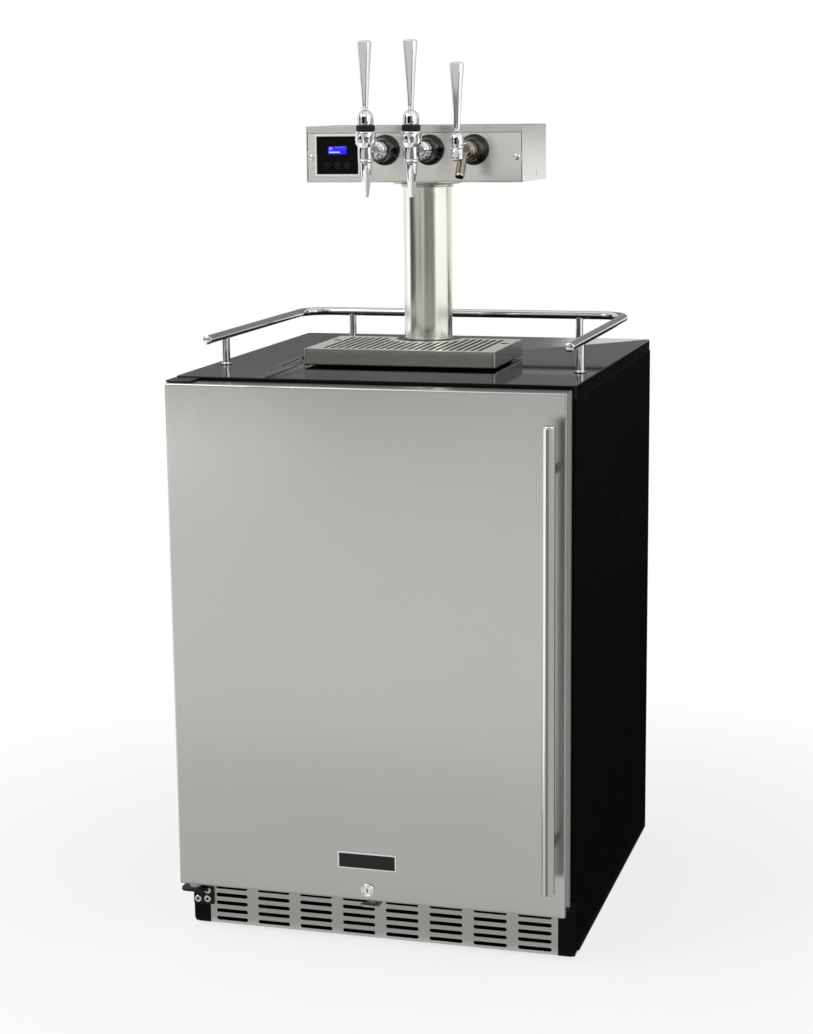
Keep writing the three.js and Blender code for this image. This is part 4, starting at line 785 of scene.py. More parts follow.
def kick_grille():
    """A sheet with rows of round-ended slots."""
    low, high = box("kick_grille")
    columns, rows, across, along = 8, 5, 68.64, 12.7
    slots = []
    for i in range(columns):
        for k in range(rows):
            x = (i - (columns - 1) / 2) * across
            slots.append(slot_outline(x, low[2] + 6.8 + along * k, 51.3, 5.6))
    outer = round_outline(low[0], high[0], low[2], high[2], 1.5)
    shell = plate(Shell(), outer, slots, low[1], high[1], 0.25)
    shell.piece("kick_grille_sheet", "grille_steel", "grille_steel", ("kick_grille",))


def hinges():
    """Both hinge plates and the lock's keeper, three screws, and a nylon sleeve on the lower pin."""
    worked_copy("hinge_plate_lower", "hinge_paint", 0.6)
    worked_copy("hinge_plate_upper", "hinge_paint", 0.4)
    worked_copy("lock_keeper", "zinc_plate", 0.4)
    radius = sizes().hinge_screw / MM
    face = middle("kick_grille")[1] - 2.1
    shell = Shell()
    for x, z in HINGE_SCREW_PLACES:
        button_head(shell, (x, face + 0.4, z), "-Y", radius, 3.2)
    shell.piece("hinge_screws", "zinc_steel", "screw_steel")
    sleeve = rounded([(8.02, 0), (8.7, 0), (8.7, 3.6), (8.4, 3.9), (8.4, 4.3), (8.7, 4.6), (8.7, 9.3),
                      (8.02, 9.3)], 0.2)
    shell = Shell().turned([*sleeve, (8.02, 4.5)], HINGE_SLEEVE_FOOT, sides=56, loop=True)
    shell.piece("hinge_sleeve", "zinc_steel", "nylon")


# Door

def door_skin():
    """A pan of folded sheet: its front rounds into the sides, and the lock passes it."""
    low, high = box("door_skin")
    edge = sizes().door_edge / MM
    outer = round_outline(low[0], high[0], low[2], high[2], edge, 8)
    front, back = low[1], high[1]
    inner = front + SKIN_SHEET + 0.4
    bend = np.radians(np.linspace(0, 90, 8))
    rows = [(SKIN_SHEET, inner), (SKIN_SHEET, back), (0.2, back), (0, back - 0.2), (0, front + edge + 1)]
    rows += [(edge * (1 - math.cos(a)), front + edge * (1 - math.sin(a))) for a in bend]
    shell = Shell().walls(outer, [*rows, (edge + 1, front)], ends=False)
    lock = middle("lock_barrel")
    hole = round_hole(lock[0], lock[2], 7.4)
    space = facing("front")
    for inset, y in ((edge + 1, front), (SKIN_SHEET, inner)):
        face = [space(outer(inset), y), space(hole(0), y)]
        triangles = tessellate_polygon([[Vector(p) for p in line] for line in face])
        shell.add(np.concatenate(face), [list(t) for t in triangles])
    shell.walls(hole, [(0, front), (0, inner)], ends=False)
    shell.piece("door_front_skin", "door_steel", "door_steel", ("door_skin",), body="door", weld=True)


def door_inside():
    """The inner liner, the foam, and a gasket with a folded bellows."""
    worked_copy("door_liner", "white_liner", 1.0)
    worked_copy("door_core", "rigid_foam", 0)
    low, high = box("door_gasket")
    front, back = low[1], high[1]
    outer = round_outline(low[0], high[0], low[2], high[2], 4, 6)
    profile = [(0.4, front), (11.6, front), (12, front + 0.6), (11.7, front + 1.6), (9.2, front + 2.2),
               (9.8, front + 3.1), (11.3, front + 3.8), (11.4, front + 4.7), (9.0, front + 5.3),
               (11.4, front + 6.0), (11.9, front + 7.0), (11.6, back - 0.5), (10.8, back), (1.2, back),
               (0.4, back - 0.5), (0.1, front + 7.0), (0.6, front + 6.0), (3.0, front + 5.3),
               (0.6, front + 4.7), (0.7, front + 3.8), (2.2, front + 3.1), (2.8, front + 2.2),
               (0.3, front + 1.6), (0, front + 0.6)]
    shell = Shell().walls(outer, profile, loop=True)
    shell.piece("door_gasket_bellows", "gasket_rubber", "gasket_rubber", ("door_gasket",), body="door")


def door_handle():
    """A straight bar with chamfered ends on two plain round posts."""
    low, high = box("door_handle")
    x, _, z = (low + high) / 2
    y = low[1] + HANDLE_RADIUS
    half = (high[2] - low[2]) / 2
    bar = rounded([(0, -half), (8.2, -half), (HANDLE_RADIUS, 1.3 - half), (HANDLE_RADIUS, half - 1.3),
                   (8.2, half), (0, half)], 0.7)
    shell = Shell().turned(bar, (x, y, z))
    shell.piece("door_bar_handle", "handle_steel", "handle_steel", ("door_handle",), body="door")
    post = rounded([(0, 8.0), (6, 8.0), (6, 43.3), (6.3, 43.7), (0, 43.7)], 0.3)
    shell = Shell()
    for side in (-1, 1):
        shell.turned(post, (x, y, z + side * HANDLE_POST_REACH), "Y", 40)
    shell.piece("door_handle_posts", "handle_steel", "post_steel", body="door")


def badge():
    """A bare plate: a bright raised rim round a sunk black field."""
    low, high = box("badge_plate")
    front, back = low[1], high[1]
    outer = round_outline(low[0], high[0], low[2], high[2], 1.6, 5)
    shell = Shell().walls(outer, [
        (0.4, back), (0, back - 0.2), (0, front + 0.5), (0.15, front + 0.15), (0.5, front), (1.9, front),
        (2.3, front + 0.15), (2.4, front + 0.5)])
    shell.piece("badge_blank", "badge_black", "tap_chrome", ("badge_plate",), body="door")
    rim = 2.42
    field = round_outline(low[0] + rim, high[0] - rim, low[2] + rim, high[2] - rim, 0.6, 5)
    shell = Shell().walls(field, [(0, front + 0.7), (0, front + 0.42), (0.12, front + 0.32)])
    shell.piece("badge_field", "badge_black", "flange_plastic", body="door")


def lock():
    """A cam lock's face: a dished ring, and a plug with its keyway."""
    low, high = box("lock_barrel")
    x, _, z = (low + high) / 2
    front = low[1]
    shell = Shell()
    ring = rounded([(7.1, 3), (10.4, 3), (10.4, 0.9), (9.5, 0), (7.9, 0.25), (7.1, 0.8)], 0.4)
    shell.turned([*ring, (7.1, 2)], (x, front, z), "Y", 64, loop=True)
    keyway = round_outline(x - 1, x + 1, z - 3.5, z + 3.5, 0.5, 4)
    plate(shell, round_hole(x, z, 7, 64), [keyway], front + 0.5, front + 8.5, 0.3)
    barrel = [(0, 8.5), (7, 8.5), (7, high[1] - front - 0.4), (6.6, high[1] - front), (0, high[1] - front)]
    shell.turned(barrel, (x, front, z), "Y", 64)
    shell.piece("lock_cylinder", "lock_chrome", "tap_chrome", ("lock_barrel",), body="lock_barrel")


# Guard rail and drip tray

def guard_rail():
    """A tube along the back and both sides of the worktop: straight runs joined by quarter bends."""
    low, high = box("guard_rail")
    x, front, back = high[0] - RAIL_RADIUS, low[1], high[1] - RAIL_RADIUS
    z = (low[2] + high[2]) / 2
    arc = np.radians(np.linspace(0, 90, 17))
    bend = np.stack([np.cos(arc), np.sin(arc)], -1) * RAIL_BEND + (x - RAIL_BEND, back - RAIL_BEND)
    run = np.insert(np.linspace(front, back - RAIL_BEND, 8)[:-1], 1, front + 3)
    side = np.concatenate([np.stack([np.full(len(run), x), run], -1), bend])
    path = np.concatenate([side, side[::-1] * (-1, 1)])
    path = np.column_stack([path, np.full(len(path), z)])
    path, radii = domed_ends(path, RAIL_RADIUS, 1.6)
    shell = Shell().rings(swept_rings(path, radii, 40))
    shell.piece("rail_tube", "rail_steel", "rail_steel", ("guard_rail",))
    for number in range(1, 5):
        rail_post(number, z)


def rail_post(number, rail_z):
    """A turned post whose top is hollowed to the rail: height = rail - sqrt(R^2 - offset^2)."""
    node = f"rail_post_{number}"
    low, _ = box(node)
    centre = np.array([*middle(node)[:2], low[2]])
    foot = rounded([(0, 0), (8, 0), (8, 1.7), (6.9, 2.2), (6.2, 3.2), (6.2, 36)], 0.5)
    rings = turned_rings(foot, centre, sides=40)
    top = turned_rings([(6.2, 0)], centre, sides=40)[0]
    offset = top[:, 0] - centre[0] if number in (1, 4) else top[:, 1] - centre[1]
    top[:, 2] = rail_z - np.sqrt((RAIL_RADIUS - 0.05) ** 2 - offset ** 2)
    end = np.repeat([[centre[0], centre[1], rail_z - 6.0]], 40, 0)
    shell = Shell().rings(np.concatenate([rings, top[None], end[None]]))
    shell.piece(node + "_turned", "rail_steel", "rail_steel", (node,))
    seal = rounded([(6.0, 0), (9.2, 0), (9.2, 0.9), (8.1, 1.0), (8.1, 0.5)], 0.2)
    shell = Shell().turned([*seal, (6.0, 0.25)], centre - (0, 0, 0.25), sides=48, loop=True)
    shell.piece(node + "_seal", "black_plastic", "black_plastic")


def tray_outline():
    """The tray's outline: a round-cornered rectangle whose back edge turns in round the column."""
    low, high = box("drip_tray")
    centre_x, centre_y = middle("column_tube")[:2]
    base = round_outline(low[0], high[0], low[1], high[1], 4.0, 6)

    def outline(inset):
        corners = base(inset)
        back = high[1] - inset
        radius = 50.0 + inset
        half = math.acos((back - centre_y) / radius)
        angle = math.pi / 2 - half - np.linspace(0, TAU - 2 * half, 61)
        arc = np.stack([centre_x + radius * np.cos(angle), centre_y + radius * np.sin(angle)], -1)
        half_way = len(corners) // 2
        return np.concatenate([corners[:half_way], arc, corners[half_way:]])
    return outline


def drip_tray():
    """A pan with a ledge for the grid, on four feet, with a black sheet on its floor: painted shade under the
    grid's slots.
    """
    low, high = box("drip_tray")
    floor, top = low[2] + 2.6, high[2]
    outline = tray_outline()
    rows = [(1.5, floor + 1.5), (1.5, top - 3.3), (6.5, top - 3.3), (6.5, top - 1.8), (1.5, top - 1.8),
            (1.5, top - 0.3), (1.2, top), (0.3, top), (0, top - 0.3), (0, floor + 2.4), (0, floor + 1.6),
            (0.5, floor + 0.5), (1.6, floor)]
    shell = Shell().walls(outline, rows, "flat")
    shell.piece("drip_tray_pan", "tray_steel", "tray_steel", ("drip_tray",))
    foot = rounded([(0, 0), (9.2, 0), (10, 1), (10, 3.0), (0, 3.0)], 0.5)
    shell = Shell()
    for x in (low[0] + 22, high[0] - 22):
        for y in (low[1] + 22, high[1] - 22):
            shell.turned(foot, (x, y, low[2]), sides=40)
    # painted shade: a black sheet on the floor, so that the slots read dark
    shell.walls(outline, [(1.9, floor + 1.7), (1.9, floor + 3.4), (2.6, floor + 4.2)], "flat")
    shell.piece("drip_tray_mat", "black_plastic", "black_plastic")


def drip_grid():
    """A lift-out sheet: slots on an even pitch, shorter beside the column, and two finger holes, with black
    cups under them as painted shade.
    """
    low, high = box("drip_grid")
    centre = middle("column_tube")
    tray = tray_outline()
    count, pitch, width, margin, clear = 23, 11.0, 6.2, 9.2, 61
    holes = []
    for i in range(count):
        x = (i - (count - 1) / 2) * pitch
        start, end = low[1] + margin, high[1] - margin
        if abs(x) < clear:
            end = min(end, centre[1] - math.sqrt(clear ** 2 - x ** 2))
        holes.append(slot_outline(x, (start + end) / 2, end - start, width, True))
    finger_y = centre[1] - FINGER_HOLE_BACK
    fingers = (low[0] + FINGER_HOLE_INSET, high[0] - FINGER_HOLE_INSET)
    holes += [round_hole(x, finger_y, 7) for x in fingers]
    shell = plate(Shell(), lambda inset: tray(1.8 + inset), holes, high[2], low[2] + 0.5, 0.3, "flat")
    # the grid is a lit copy of the tray's steel: painted light on its upper face
    shell.piece("drip_grid_sheet", "tray_steel", "grid_steel", ("drip_grid",), body="drip_grid")
    # painted shade: black cups under the finger holes, so that the holes read dark
    cup = rounded([(0, -6), (6.95, -6), (6.95, -0.05), (6.3, -0.05), (6.1, -5.2), (0, -5.2)], 0.2)
    shell = Shell()
    for x in fingers:
        shell.turned(cup, (x, finger_y, high[2]), sides=40)
    shell.piece("drip_grid_cups", "tray_steel", "black_plastic", body="drip_grid")


# Column and head

def column():
    """A tube on a turned foot flange, and a turned collar with a bead under the head."""
    low, high = box("column_tube")
    x, y, _ = middle("column_tube")
    radius = COLUMN_RADIUS
    foot = rounded([(36.6, 0), (47, 0), (47, 2.6), (45.6, 3.8), (39.4, 4.0), (radius, 5.4),
                    (radius, 40)], 0.9)
    heights = np.linspace(60, high[2] - low[2] - 0.4, 6)
    wall = [*foot, *[(radius, h) for h in heights], (37.8, heights[-1] + 0.4), (36.6, heights[-1] + 0.4)]
    shell = Shell().turned(wall, (x, y, low[2]), sides=160, loop=True)
    shell.piece("column_turned", "column_steel", "column_steel", ("column_tube",))
    low, high = box("column_collar")
    rise = high[2] - low[2]
    collar = rounded([(38.5, 0), (40.6, 0), (41.2, 0.6), (41.2, rise - 4.6), (44, rise - 4),
                      (53.2, rise - 4), (54, rise - 3.2), (54, rise - 0.6), (53.4, rise), (33, rise),
                      (33, rise - 4), (38.5, rise - 4)], 0.6)
    shell = Shell().turned(collar, (x, y, low[2]), sides=160, loop=True)
    shell.piece("collar_turned", "column_steel", "collar_steel", ("column_collar",))


def head():
    """A folded box with an opening in its front, closed by a screwed sheet with the taps' holes."""
    # the head box's finish paints shade on the lip above the front sheet
    worked_copy("head_shell", "head_box_steel", 0.8, "head_box", 3)
    panel_low, panel_high = box("head_front_panel")
    gap = 0.35
    face, rear = box("head_shell")[0][1], panel_high[1]
    places = [middle(f"shank_flange_{n}") for n in TAPS]
    fascia_low, fascia_high = box("display_panel")
    holes = [round_hole(p[0], p[2], 11.5, 40) for p in places]
    holes.append(round_outline(fascia_low[0] - gap, fascia_high[0] + gap, fascia_low[2] - gap,
                               fascia_high[2] + gap, 1, 5))
    sheet = round_outline(panel_low[0] + 0.7, panel_high[0] - 0.7, panel_low[2] + 0.3,
                          panel_high[2] - 0.2, 0.6, 5)
    shell = plate(Shell(), sheet, holes, face, rear, 0.2)
    shell.piece("head_front_sheet", "head_steel", "head_steel", ("head_front_panel",))
    shell = Shell()
    for side in (-1, 1):
        screw_head(shell, (side * HEAD_SCREW_REACH, face + 0.05, HEAD_SCREW_HEIGHT), "-Y", 4.5, 2.2)
    shell.piece("head_screws", "head_steel", "screw_steel")


# Display

SEGMENTS = {"0": "abcdef", "4": "fgbc"}


def bar(shell, x0, x1, z0, z1, y, proud=0.04):
    """A raised bar with bevelled sides."""
    outline = round_outline(x0, x1, z0, z1, min(x1 - x0, z1 - z0) * 0.3, 2)
    shell.walls(outline, [(0, y + 0.05), (0, y - proud * 0.5), (0.03, y - proud)])


def digit(shell, sign, x, z, width, height, y, stroke):
    """A seven-stroke number whose lower left corner is at x, z."""
    mid = z + height / 2
    right, top = x + width, z + height
    strokes = {
        "a": (x, right, top - stroke, top), "g": (x, right, mid - stroke / 2, mid + stroke / 2),
        "d": (x, right, z, z + stroke), "f": (x, x + stroke, mid, top), "e": (x, x + stroke, z, mid),
        "b": (right - stroke, right, mid, top), "c": (right - stroke, right, z, mid),
    }
    for name in SEGMENTS[sign]:
        bar(shell, *strokes[name], y)


def display():
    """A pale surround, a gloss fascia with a lit window and its reading, and three round keys."""
    low, high = box("display_bezel")
    front, back = low[1], high[1]
    surround = round_outline(low[0], high[0], low[2], high[2], 1.6, 6)
    shell = Shell().walls(surround, [
        (0, back), (0, front + 0.4), (0.12, front + 0.12), (0.4, front), (2.5, front),
        (2.9, front + 0.2), (3.05, front + 0.6), (3.05, back)], loop=True)
    shell.piece("display_surround", "bezel_plastic", "bezel_plastic", ("display_bezel",))
    low, high = box("display_panel")
    face = low[1]
    outline = round_outline(low[0], high[0], low[2], high[2], 0.8, 4)
    keys = [middle(f"display_key_{n}") for n in range(1, 4)]
    holes = [round_hole(k[0], k[2], 5.5, 48) for k in keys]
    shell = plate(Shell(), outline, holes, face, face + 2.2, 0.15)
    shell.walls(outline, [(0.3, face + 2.3), (0.3, high[1])])
    shell.piece("display_fascia", "display_gloss", "display_gloss", ("display_panel",))
    screen = (-135.3, -105.4, 1180.6, 1192.2)
    shell = Shell().walls(round_outline(*screen, 0.5, 3),
                          [(0, face + 0.1), (0, face - 0.02), (0.05, face - 0.05)])
    shell.piece("display_screen", "display_gloss", "screen_blue")
    shell = Shell()
    left = screen[0] + 2.4
    for k, sign in enumerate("04"):
        digit(shell, sign, left + 2.6 * k, screen[3] - 4.9, 1.8, 3.2, face - 0.05, 0.42)
    for start in left + 1.9 * np.arange(9):
        bar(shell, start, start + 1.4, screen[2] + 1.9, screen[2] + 3.9, face - 0.05)
    shell.piece("display_reading", "display_gloss", "screen_light")
    for number, key in enumerate(keys, 1):
        display_key(number, key)


def display_key(number, centre):
    """A round key with a thin printed ring and a bare mark of one, two or three strokes."""
    body = f"display_key_{number}"
    low, high = box(body)
    front, back = low[1], high[1]
    thick = back - front
    profile = rounded([(0, thick), (5.2, thick), (5.2, 0.25), (4.9, 0), (4.2, 0), (0, 0.12)], 0.15)
    place = (centre[0], front, centre[2])
    shell = Shell().turned(profile, place, "Y", 56)
    shell.piece(body + "_cap", "key_plastic", "key_plastic", (body,), body=body)
    shell = Shell()
    ring = [(4.25, 0.1), (4.25, -0.02), (4.6, -0.02), (4.6, 0.1)]
    shell.turned(ring, place, "Y", 56, loop=True)
    for k in range(number):
        z = centre[2] + (k - (number - 1) / 2) * 1.3
        bar(shell, centre[0] - 1.5, centre[0] + 1.5, z - 0.25, z + 0.25, front + 0.1, 0.1)
    shell.piece(body + "_mark", "key_plastic", "key_mark", body=body)


# Taps

def tap_flange(number):
    """A bell: its radius falls by 9.5 sin t as it comes forward by 4 + 26 (1 - cos t)."""
    node = f"shank_flange_{number}"
    low, high = box(node)
    x, z = (low[0] + high[0]) / 2, (low[2] + high[2]) / 2
    back = high[1]
    t = np.linspace(0, math.pi / 2, 28)
    bell = [(23.3 - 9.5 * math.sin(a), -4 - 26 * (1 - math.cos(a))) for a in t]
    profile = [(11, 0), (22.6, 0), (23.2, -0.7), (23.3, -3.0), *bell[1:-1],
               (13.6, -29.7), (12.8, -30), (11, -30)]
    shell = Shell().turned(profile, (x, back, z), "Y", 96, loop=True)
    shell.piece(f"tap_flange_{number}", "black_plastic", "flange_plastic", (node,))


def tap_coupling(shell, x, z, y):
    """A round coupling nut with two spanner grooves, and the barrel from it to the faucet's axis."""
    back, front = -51.35, -71.35
    nut = rounded([(0, back), (11.4, back), (13.5, back - 2.4), (13.5, back - 6), (12.8, back - 6.6),
                   (12.8, back - 8), (13.5, back - 8.6), (13.5, front + 3.4), (11.2, front + 0.6),
                   (9.6, front), (9.0, front - 0.8), (9.0, y), (0, y)], 0.5)
    shell.turned(nut, (x, 0, z), "Y", 72)


def bonnet(shell, x, y, base, pivot, radius):
    """A dome split by the lever's slot. Each cheek is a loft across x of an arch whose half width is
    sqrt(R^2 - x^2), on a turned disc."""
    floor, slot = pivot - 8.3, sizes().lever_slot / MM
    skirt = rounded([(0, base), (radius - 0.7, base), (radius, base + 0.7), (radius, floor), (0, floor)], 0.3)
    shell.turned(skirt, (x, y, 0), sides=72)
    share = np.sin(np.linspace(0, math.pi / 2, 22))
    offsets = slot / 2 + (radius - slot / 2) * share
    half = np.sqrt(np.maximum(radius ** 2 - offsets ** 2, 1e-4))
    a = np.linspace(0, math.pi, 29)
    arch_y = np.concatenate([[1.0], np.cos(a), [-1.0]]) * half[:, None]
    arch_z = np.concatenate([[0.0], np.sin(a), [0.0]]) * half[:, None]
    arch_z += np.concatenate([[floor], np.full(len(a), pivot), [floor]])
    for side in (-1, 1):
        shell.rings(np.stack([x + side * offsets[:, None] + 0 * arch_y, y + arch_y, arch_z], -1))


def stout_tap(number):
    """A stout faucet: a lathed body with oval finger scallops above a waist, a bonnet and a bored foot."""
    node = f"faucet_body_{number}"
    x, y = middle(f"nozzle_{number}")[:2]
    z = middle(f"shank_flange_{number}")[2]
    shell = Shell()
    tap_coupling(shell, x, z, y)
    waist = rounded([(2, -16), (11.4, -16), (12.2, -15.2), (12.2, -13.2), (11.5, -12.5), (12.2, -11.6),
                     (12.2, 5.6)], 0.5)
    flare = [(12.25, 6.6), (12.7, 7.6), (13.7, 9.2), (14.7, 11.0), (15.3, 12.6)]
    grip = [(15.55 - 0.15 * (2 * s - 1) ** 2, 13.4 + 12.6 * s) for s in np.linspace(0, 1, 44)]
    crown = rounded([(15.4, 26.4), (15.55, 27.6), (14.7, 28.9), (10, 29), (10, 39.3), (0, 39.3)], 0.4)
    count, depth = sizes().scallops, sizes().scallop_depth / MM

    def scallops(t, height):
        """Each scallop sinks by depth * (1 - u^2 - v^2) inside an oval round its middle."""
        turn = (t + TAU / 4 + math.pi) % (TAU / count) - TAU / count / 2
        u, v = turn * 15.2 / 4.1, (height - 17.4) / 8.6
        return -depth * np.sqrt(np.maximum(0, 1 - u ** 2 - v ** 2)) * (height > 6)
    profile = [*waist, *flare, *grip, *crown]
    shell.turned(profile, (x, y, z), sides=224, ripple=scallops)
    bonnet(shell, x, y, z + 39.0, z + STOUT_PIVOT, STOUT_DOME)
    shell.piece(f"stout_faucet_{number}", "tap_chrome", "tap_chrome", (node,))
    count, groove = sizes().knurls, sizes().knurl_depth / MM
    low, high = box(f"cap_ring_{number}")
    rise = high[2] - low[2]
    edge = [(10.3, 0), (12.9, 0), (13.8, 0.9), (14.0, 1.8), (14.0, rise - 1.8), (13.8, rise - 0.9),
            (12.9, rise), (10.3, rise)]

    def knurl(t, height):
        """Each groove sinks by depth * (0.5 + 0.5 cos(n t))^3, and fades out at the ring's edges."""
        inner = np.clip((height - 0.8) / 0.6, 0, 1) * np.clip((rise - 0.8 - height) / 0.6, 0, 1)
        return -groove * (0.5 + 0.5 * np.cos(count * t)) ** 3 * inner
    shell = Shell().turned(edge, (x, y, low[2]), sides=count * 12, ripple=knurl, loop=True)
    shell.piece(f"grip_ring_{number}", "black_plastic", "black_plastic", (f"cap_ring_{number}",))
    low, high = box(f"nozzle_{number}")
    top = high[2]
    taper = [(8.9 - 5.7 * (s * 0.55 + s ** 2 * 0.45), -0.8 - 49.4 * s) for s in np.linspace(0, 1, 16)]
    spout = rounded([(2, 0), (8.2, 0), *taper, (2.9, -51), (2.3, -51), (2, -50.4)], 0.4)
    shell = Shell().turned([*spout, (2, -12)], (x, y, top), sides=72, loop=True)
    shell.piece(f"nozzle_{number}_turned", "tap_chrome", "tap_chrome", (f"nozzle_{number}",))


def plain_tap():
    """A plain faucet: a short housing with a round front boss, and a slant spout open at its end."""
    x = middle("shank_flange_3")[0]
    y, z = middle("tap_lever_3")[1], middle("shank_flange_3")[2]
    shell = Shell()
    tap_coupling(shell, x, z, y)
    # the coupling's nickel is darkened as painted reflection of dark surroundings
    shell.piece("plain_coupling", "tap_chrome", "coupling_nickel")
    shell = Shell()
    housing = rounded([(0, -15), (6, -15), (9, -12), (9, 3.4), (9.6, 4.4), (9.8, 8), (0, 8)], 0.9)
    shell.turned(housing, (x, y, z), sides=72)
    boss = rounded([(0, -9.75), (4.2, -9.75), (5.6, -9.3), (6.4, -8), (6.6, 0), (0, 0)], 0.9)
    shell.turned(boss, (x, y, z - 3.4), "Y", 48)
    bonnet(shell, x, y, z + 8.2, z + PLAIN_PIVOT, PLAIN_DOME)
    shell.piece("plain_faucet", "tap_chrome", "tap_chrome", ("faucet_body_3",))
    root, tip = np.array([x, y + 36, z - 3]), np.array([x, y + 13, z - 38])
    stations = np.array([(0, 6.4), (0.18, 6.8), (0.5, 7.0), (0.82, 7.0), (0.9, 7.1), (0.975, 7.1), (1.0, 6.7),
                         (1.0, 5.5), (0.97, 5.3), (0.5, 4.6), (0.3, 0)])
    side = np.array([1.0, 0, 0])
    lift = np.cross(side, (tip - root) / np.linalg.norm(tip - root))
    t = np.arange(56)[:, None] * TAU / 56
    circle = np.cos(t) * side + np.sin(t) * lift
    path = root + (tip - root) * stations[:, :1]
    shell = Shell().rings(path[:, None] + stations[:, 1, None, None] * circle)
    shell.piece("plain_spout", "tap_chrome", "spout_nickel")


def tap_lever(number):
    """A paddle: a rounded section of half width a, cut in front by a flat whose edges lie at the angle
    t0 = asin((b / B)^(n / 2)) of the superellipse that would reach B; the flat runs from a point at the
    foot to nearly the full width. It ends in a quarter-round crown, on a tongue that swings in the bonnet;
    the tongue is black, painted shade in the bonnet's slot."""
    node = f"tap_lever_{number}"
    low, high = box(node)
    x, y = (low[0] + high[0]) / 2, middle("tap_lever_3")[1]
    rise, radius = (STOUT_PIVOT, STOUT_DOME) if number in STOUT_TAPS else (PLAIN_PIVOT, PLAIN_DOME)
    pivot = middle("shank_flange_1")[2] + rise
    root = pivot + radius + 0.6
    top, crown, foot = high[2], 2.6, 4.5
    share = np.linspace(0, 1, 48)
    heights = root + foot + share * (top - crown - root - foot)
    swell = share ** 1.15
    half, deep = 4.5 + 6.3 * swell, 4.4 + 3.55 * swell
    reach = 1 + 0.19 * share ** 0.7
    ring = np.array([0.995, 0.97, 0.93, 0.86, 0.74, 0.58, 0.4, 0.2, 0.0])
    heights = np.concatenate([heights, top - crown * ring ** 3])
    shrink = np.concatenate([np.ones(len(share)), ring])[:, None]
    half, deep, reach = (np.concatenate([v, np.full(len(ring), v[-1])])[:, None]
                         for v in (half, deep, reach))
    square = 2 + 0.9 * (reach - 1)
    edge = np.arcsin(reach ** (-square / 2))
    flat = half * np.cos(edge) ** (2 / square)
    s = np.linspace(-1, 1, 17)[:-1]
    turn = -edge + (math.pi + 2 * edge) * np.linspace(0, 1, 60)[:-1]
    c, n = np.cos(turn), np.sin(turn)
    curve_x = half * np.sign(c) * np.abs(c) ** (2 / square)
    curve_y = np.where(n < 0, deep * reach, deep) * np.sign(n) * np.abs(n) ** (2 / square)
    ring_x = np.concatenate([flat * s, curve_x], 1) * shrink
    ring_y = np.concatenate([-deep + 0 * s, curve_y], 1) * shrink
    shell = Shell().rings(np.stack([x + ring_x, y + ring_y, heights[:, None] + 0 * ring_x], -1))
    neck = rounded([(0, 0), (3.9, 0), (4.7, 0.6), (4.7, 1.6), (3.7, 2.1), (3.7, 2.7), (4.6, 3.1), (4.6, 4.6),
                    (0, 4.6)], 0.3)
    shell.turned(neck, (x, y, root), sides=56)
    slack = sizes().lever_slot / MM / 2 - 0.3
    sector = np.radians(np.linspace(9, 171, 40))
    blade = np.stack([np.cos(sector), np.sin(sector)], -1) * (radius - 0.35)
    blade = np.concatenate([blade, [[-3.0, 0.5], [3.0, 0.5]]])
    shell.rings([np.column_stack([np.full(len(blade), x + u), blade * k + (y, pivot)])
                 for u, k in ((-slack, 0.97), (0.3 - slack, 1), (slack - 0.3, 1), (slack, 0.97))])
    shell.piece(f"lever_{number}_paddle", "tap_chrome", "tap_chrome", (node,), body=node)
    # painted shade: the tongue takes the black finish so that the lever's slot reads dark
    disc = rounded([(0, -slack), (7.6, -slack), (8, 0.4 - slack), (8, slack - 0.4), (7.6, slack),
                    (0, slack)], 0.2)
    shell = Shell().turned(disc, (x, y, pivot), "X", 56)
    shell.piece(f"lever_{number}_tongue", "tap_chrome", "black_plastic", body=node)


def tap_shanks():
    """The threaded shank and its lock nut inside the head."""
    for number in TAPS:
        worked_copy(f"tap_shank_{number}", "tap_chrome", 0.3)


# Beverage lines and cooling unit

def line_trunk():
    """An insulated trunk up the column and a hose from it to each shank, each on one smooth curve."""
    low, _ = box("line_trunk")
    y, z = middle("column_tube")[1], middle("shank_flange_1")[2]
    trunk_top = middle("head_shell")[2] - 28.6
    profile = rounded([(0, low[2]), (27.5, low[2]), (29.7, low[2] + 2), (29.7, trunk_top - 2),
                       (27.5, trunk_top), (0, trunk_top)], 1.5)
    shell = Shell().turned(profile, (0, y, 0), sides=64)
    share = np.linspace(0, 1, 24)[:, None]
    for number in TAPS:
        x = middle(f"shank_flange_{number}")[0]
        start = (number - 2) * 12.0
        a, b, c, d = (np.array(p) for p in ((start, y, trunk_top - 5), (start, y, z), (x, y, z),
                                            (x, low[1] + 8, z)))
        curve = (1 - share) ** 3 * a + 3 * share * (1 - share) ** 2 * b + 3 * share ** 2 * (1 - share) * c
        path = np.concatenate([curve + share ** 3 * d, [[x, low[1], z]]])
        shell.rings(swept_rings(path, 5.0, 24, (0.3, 0.2, 1)))
    shell.piece("beverage_lines", "line_foam", "sleeve_foam", ("line_trunk",))


def cooling_unit():
    """Compressor with a welded seam, finned condenser, fan, the evaporator's cover and the inlet."""
    worked_copy("compressor", "motor_paint", 0.8)
    worked_copy("condenser", "condenser_fins", 0.3)
    worked_copy("condenser_fan", "black_plastic", 0.4)
    worked_copy("evaporator_cover", "white_liner", 0.6)
    worked_copy("power_inlet", "black_plastic", 0.3)


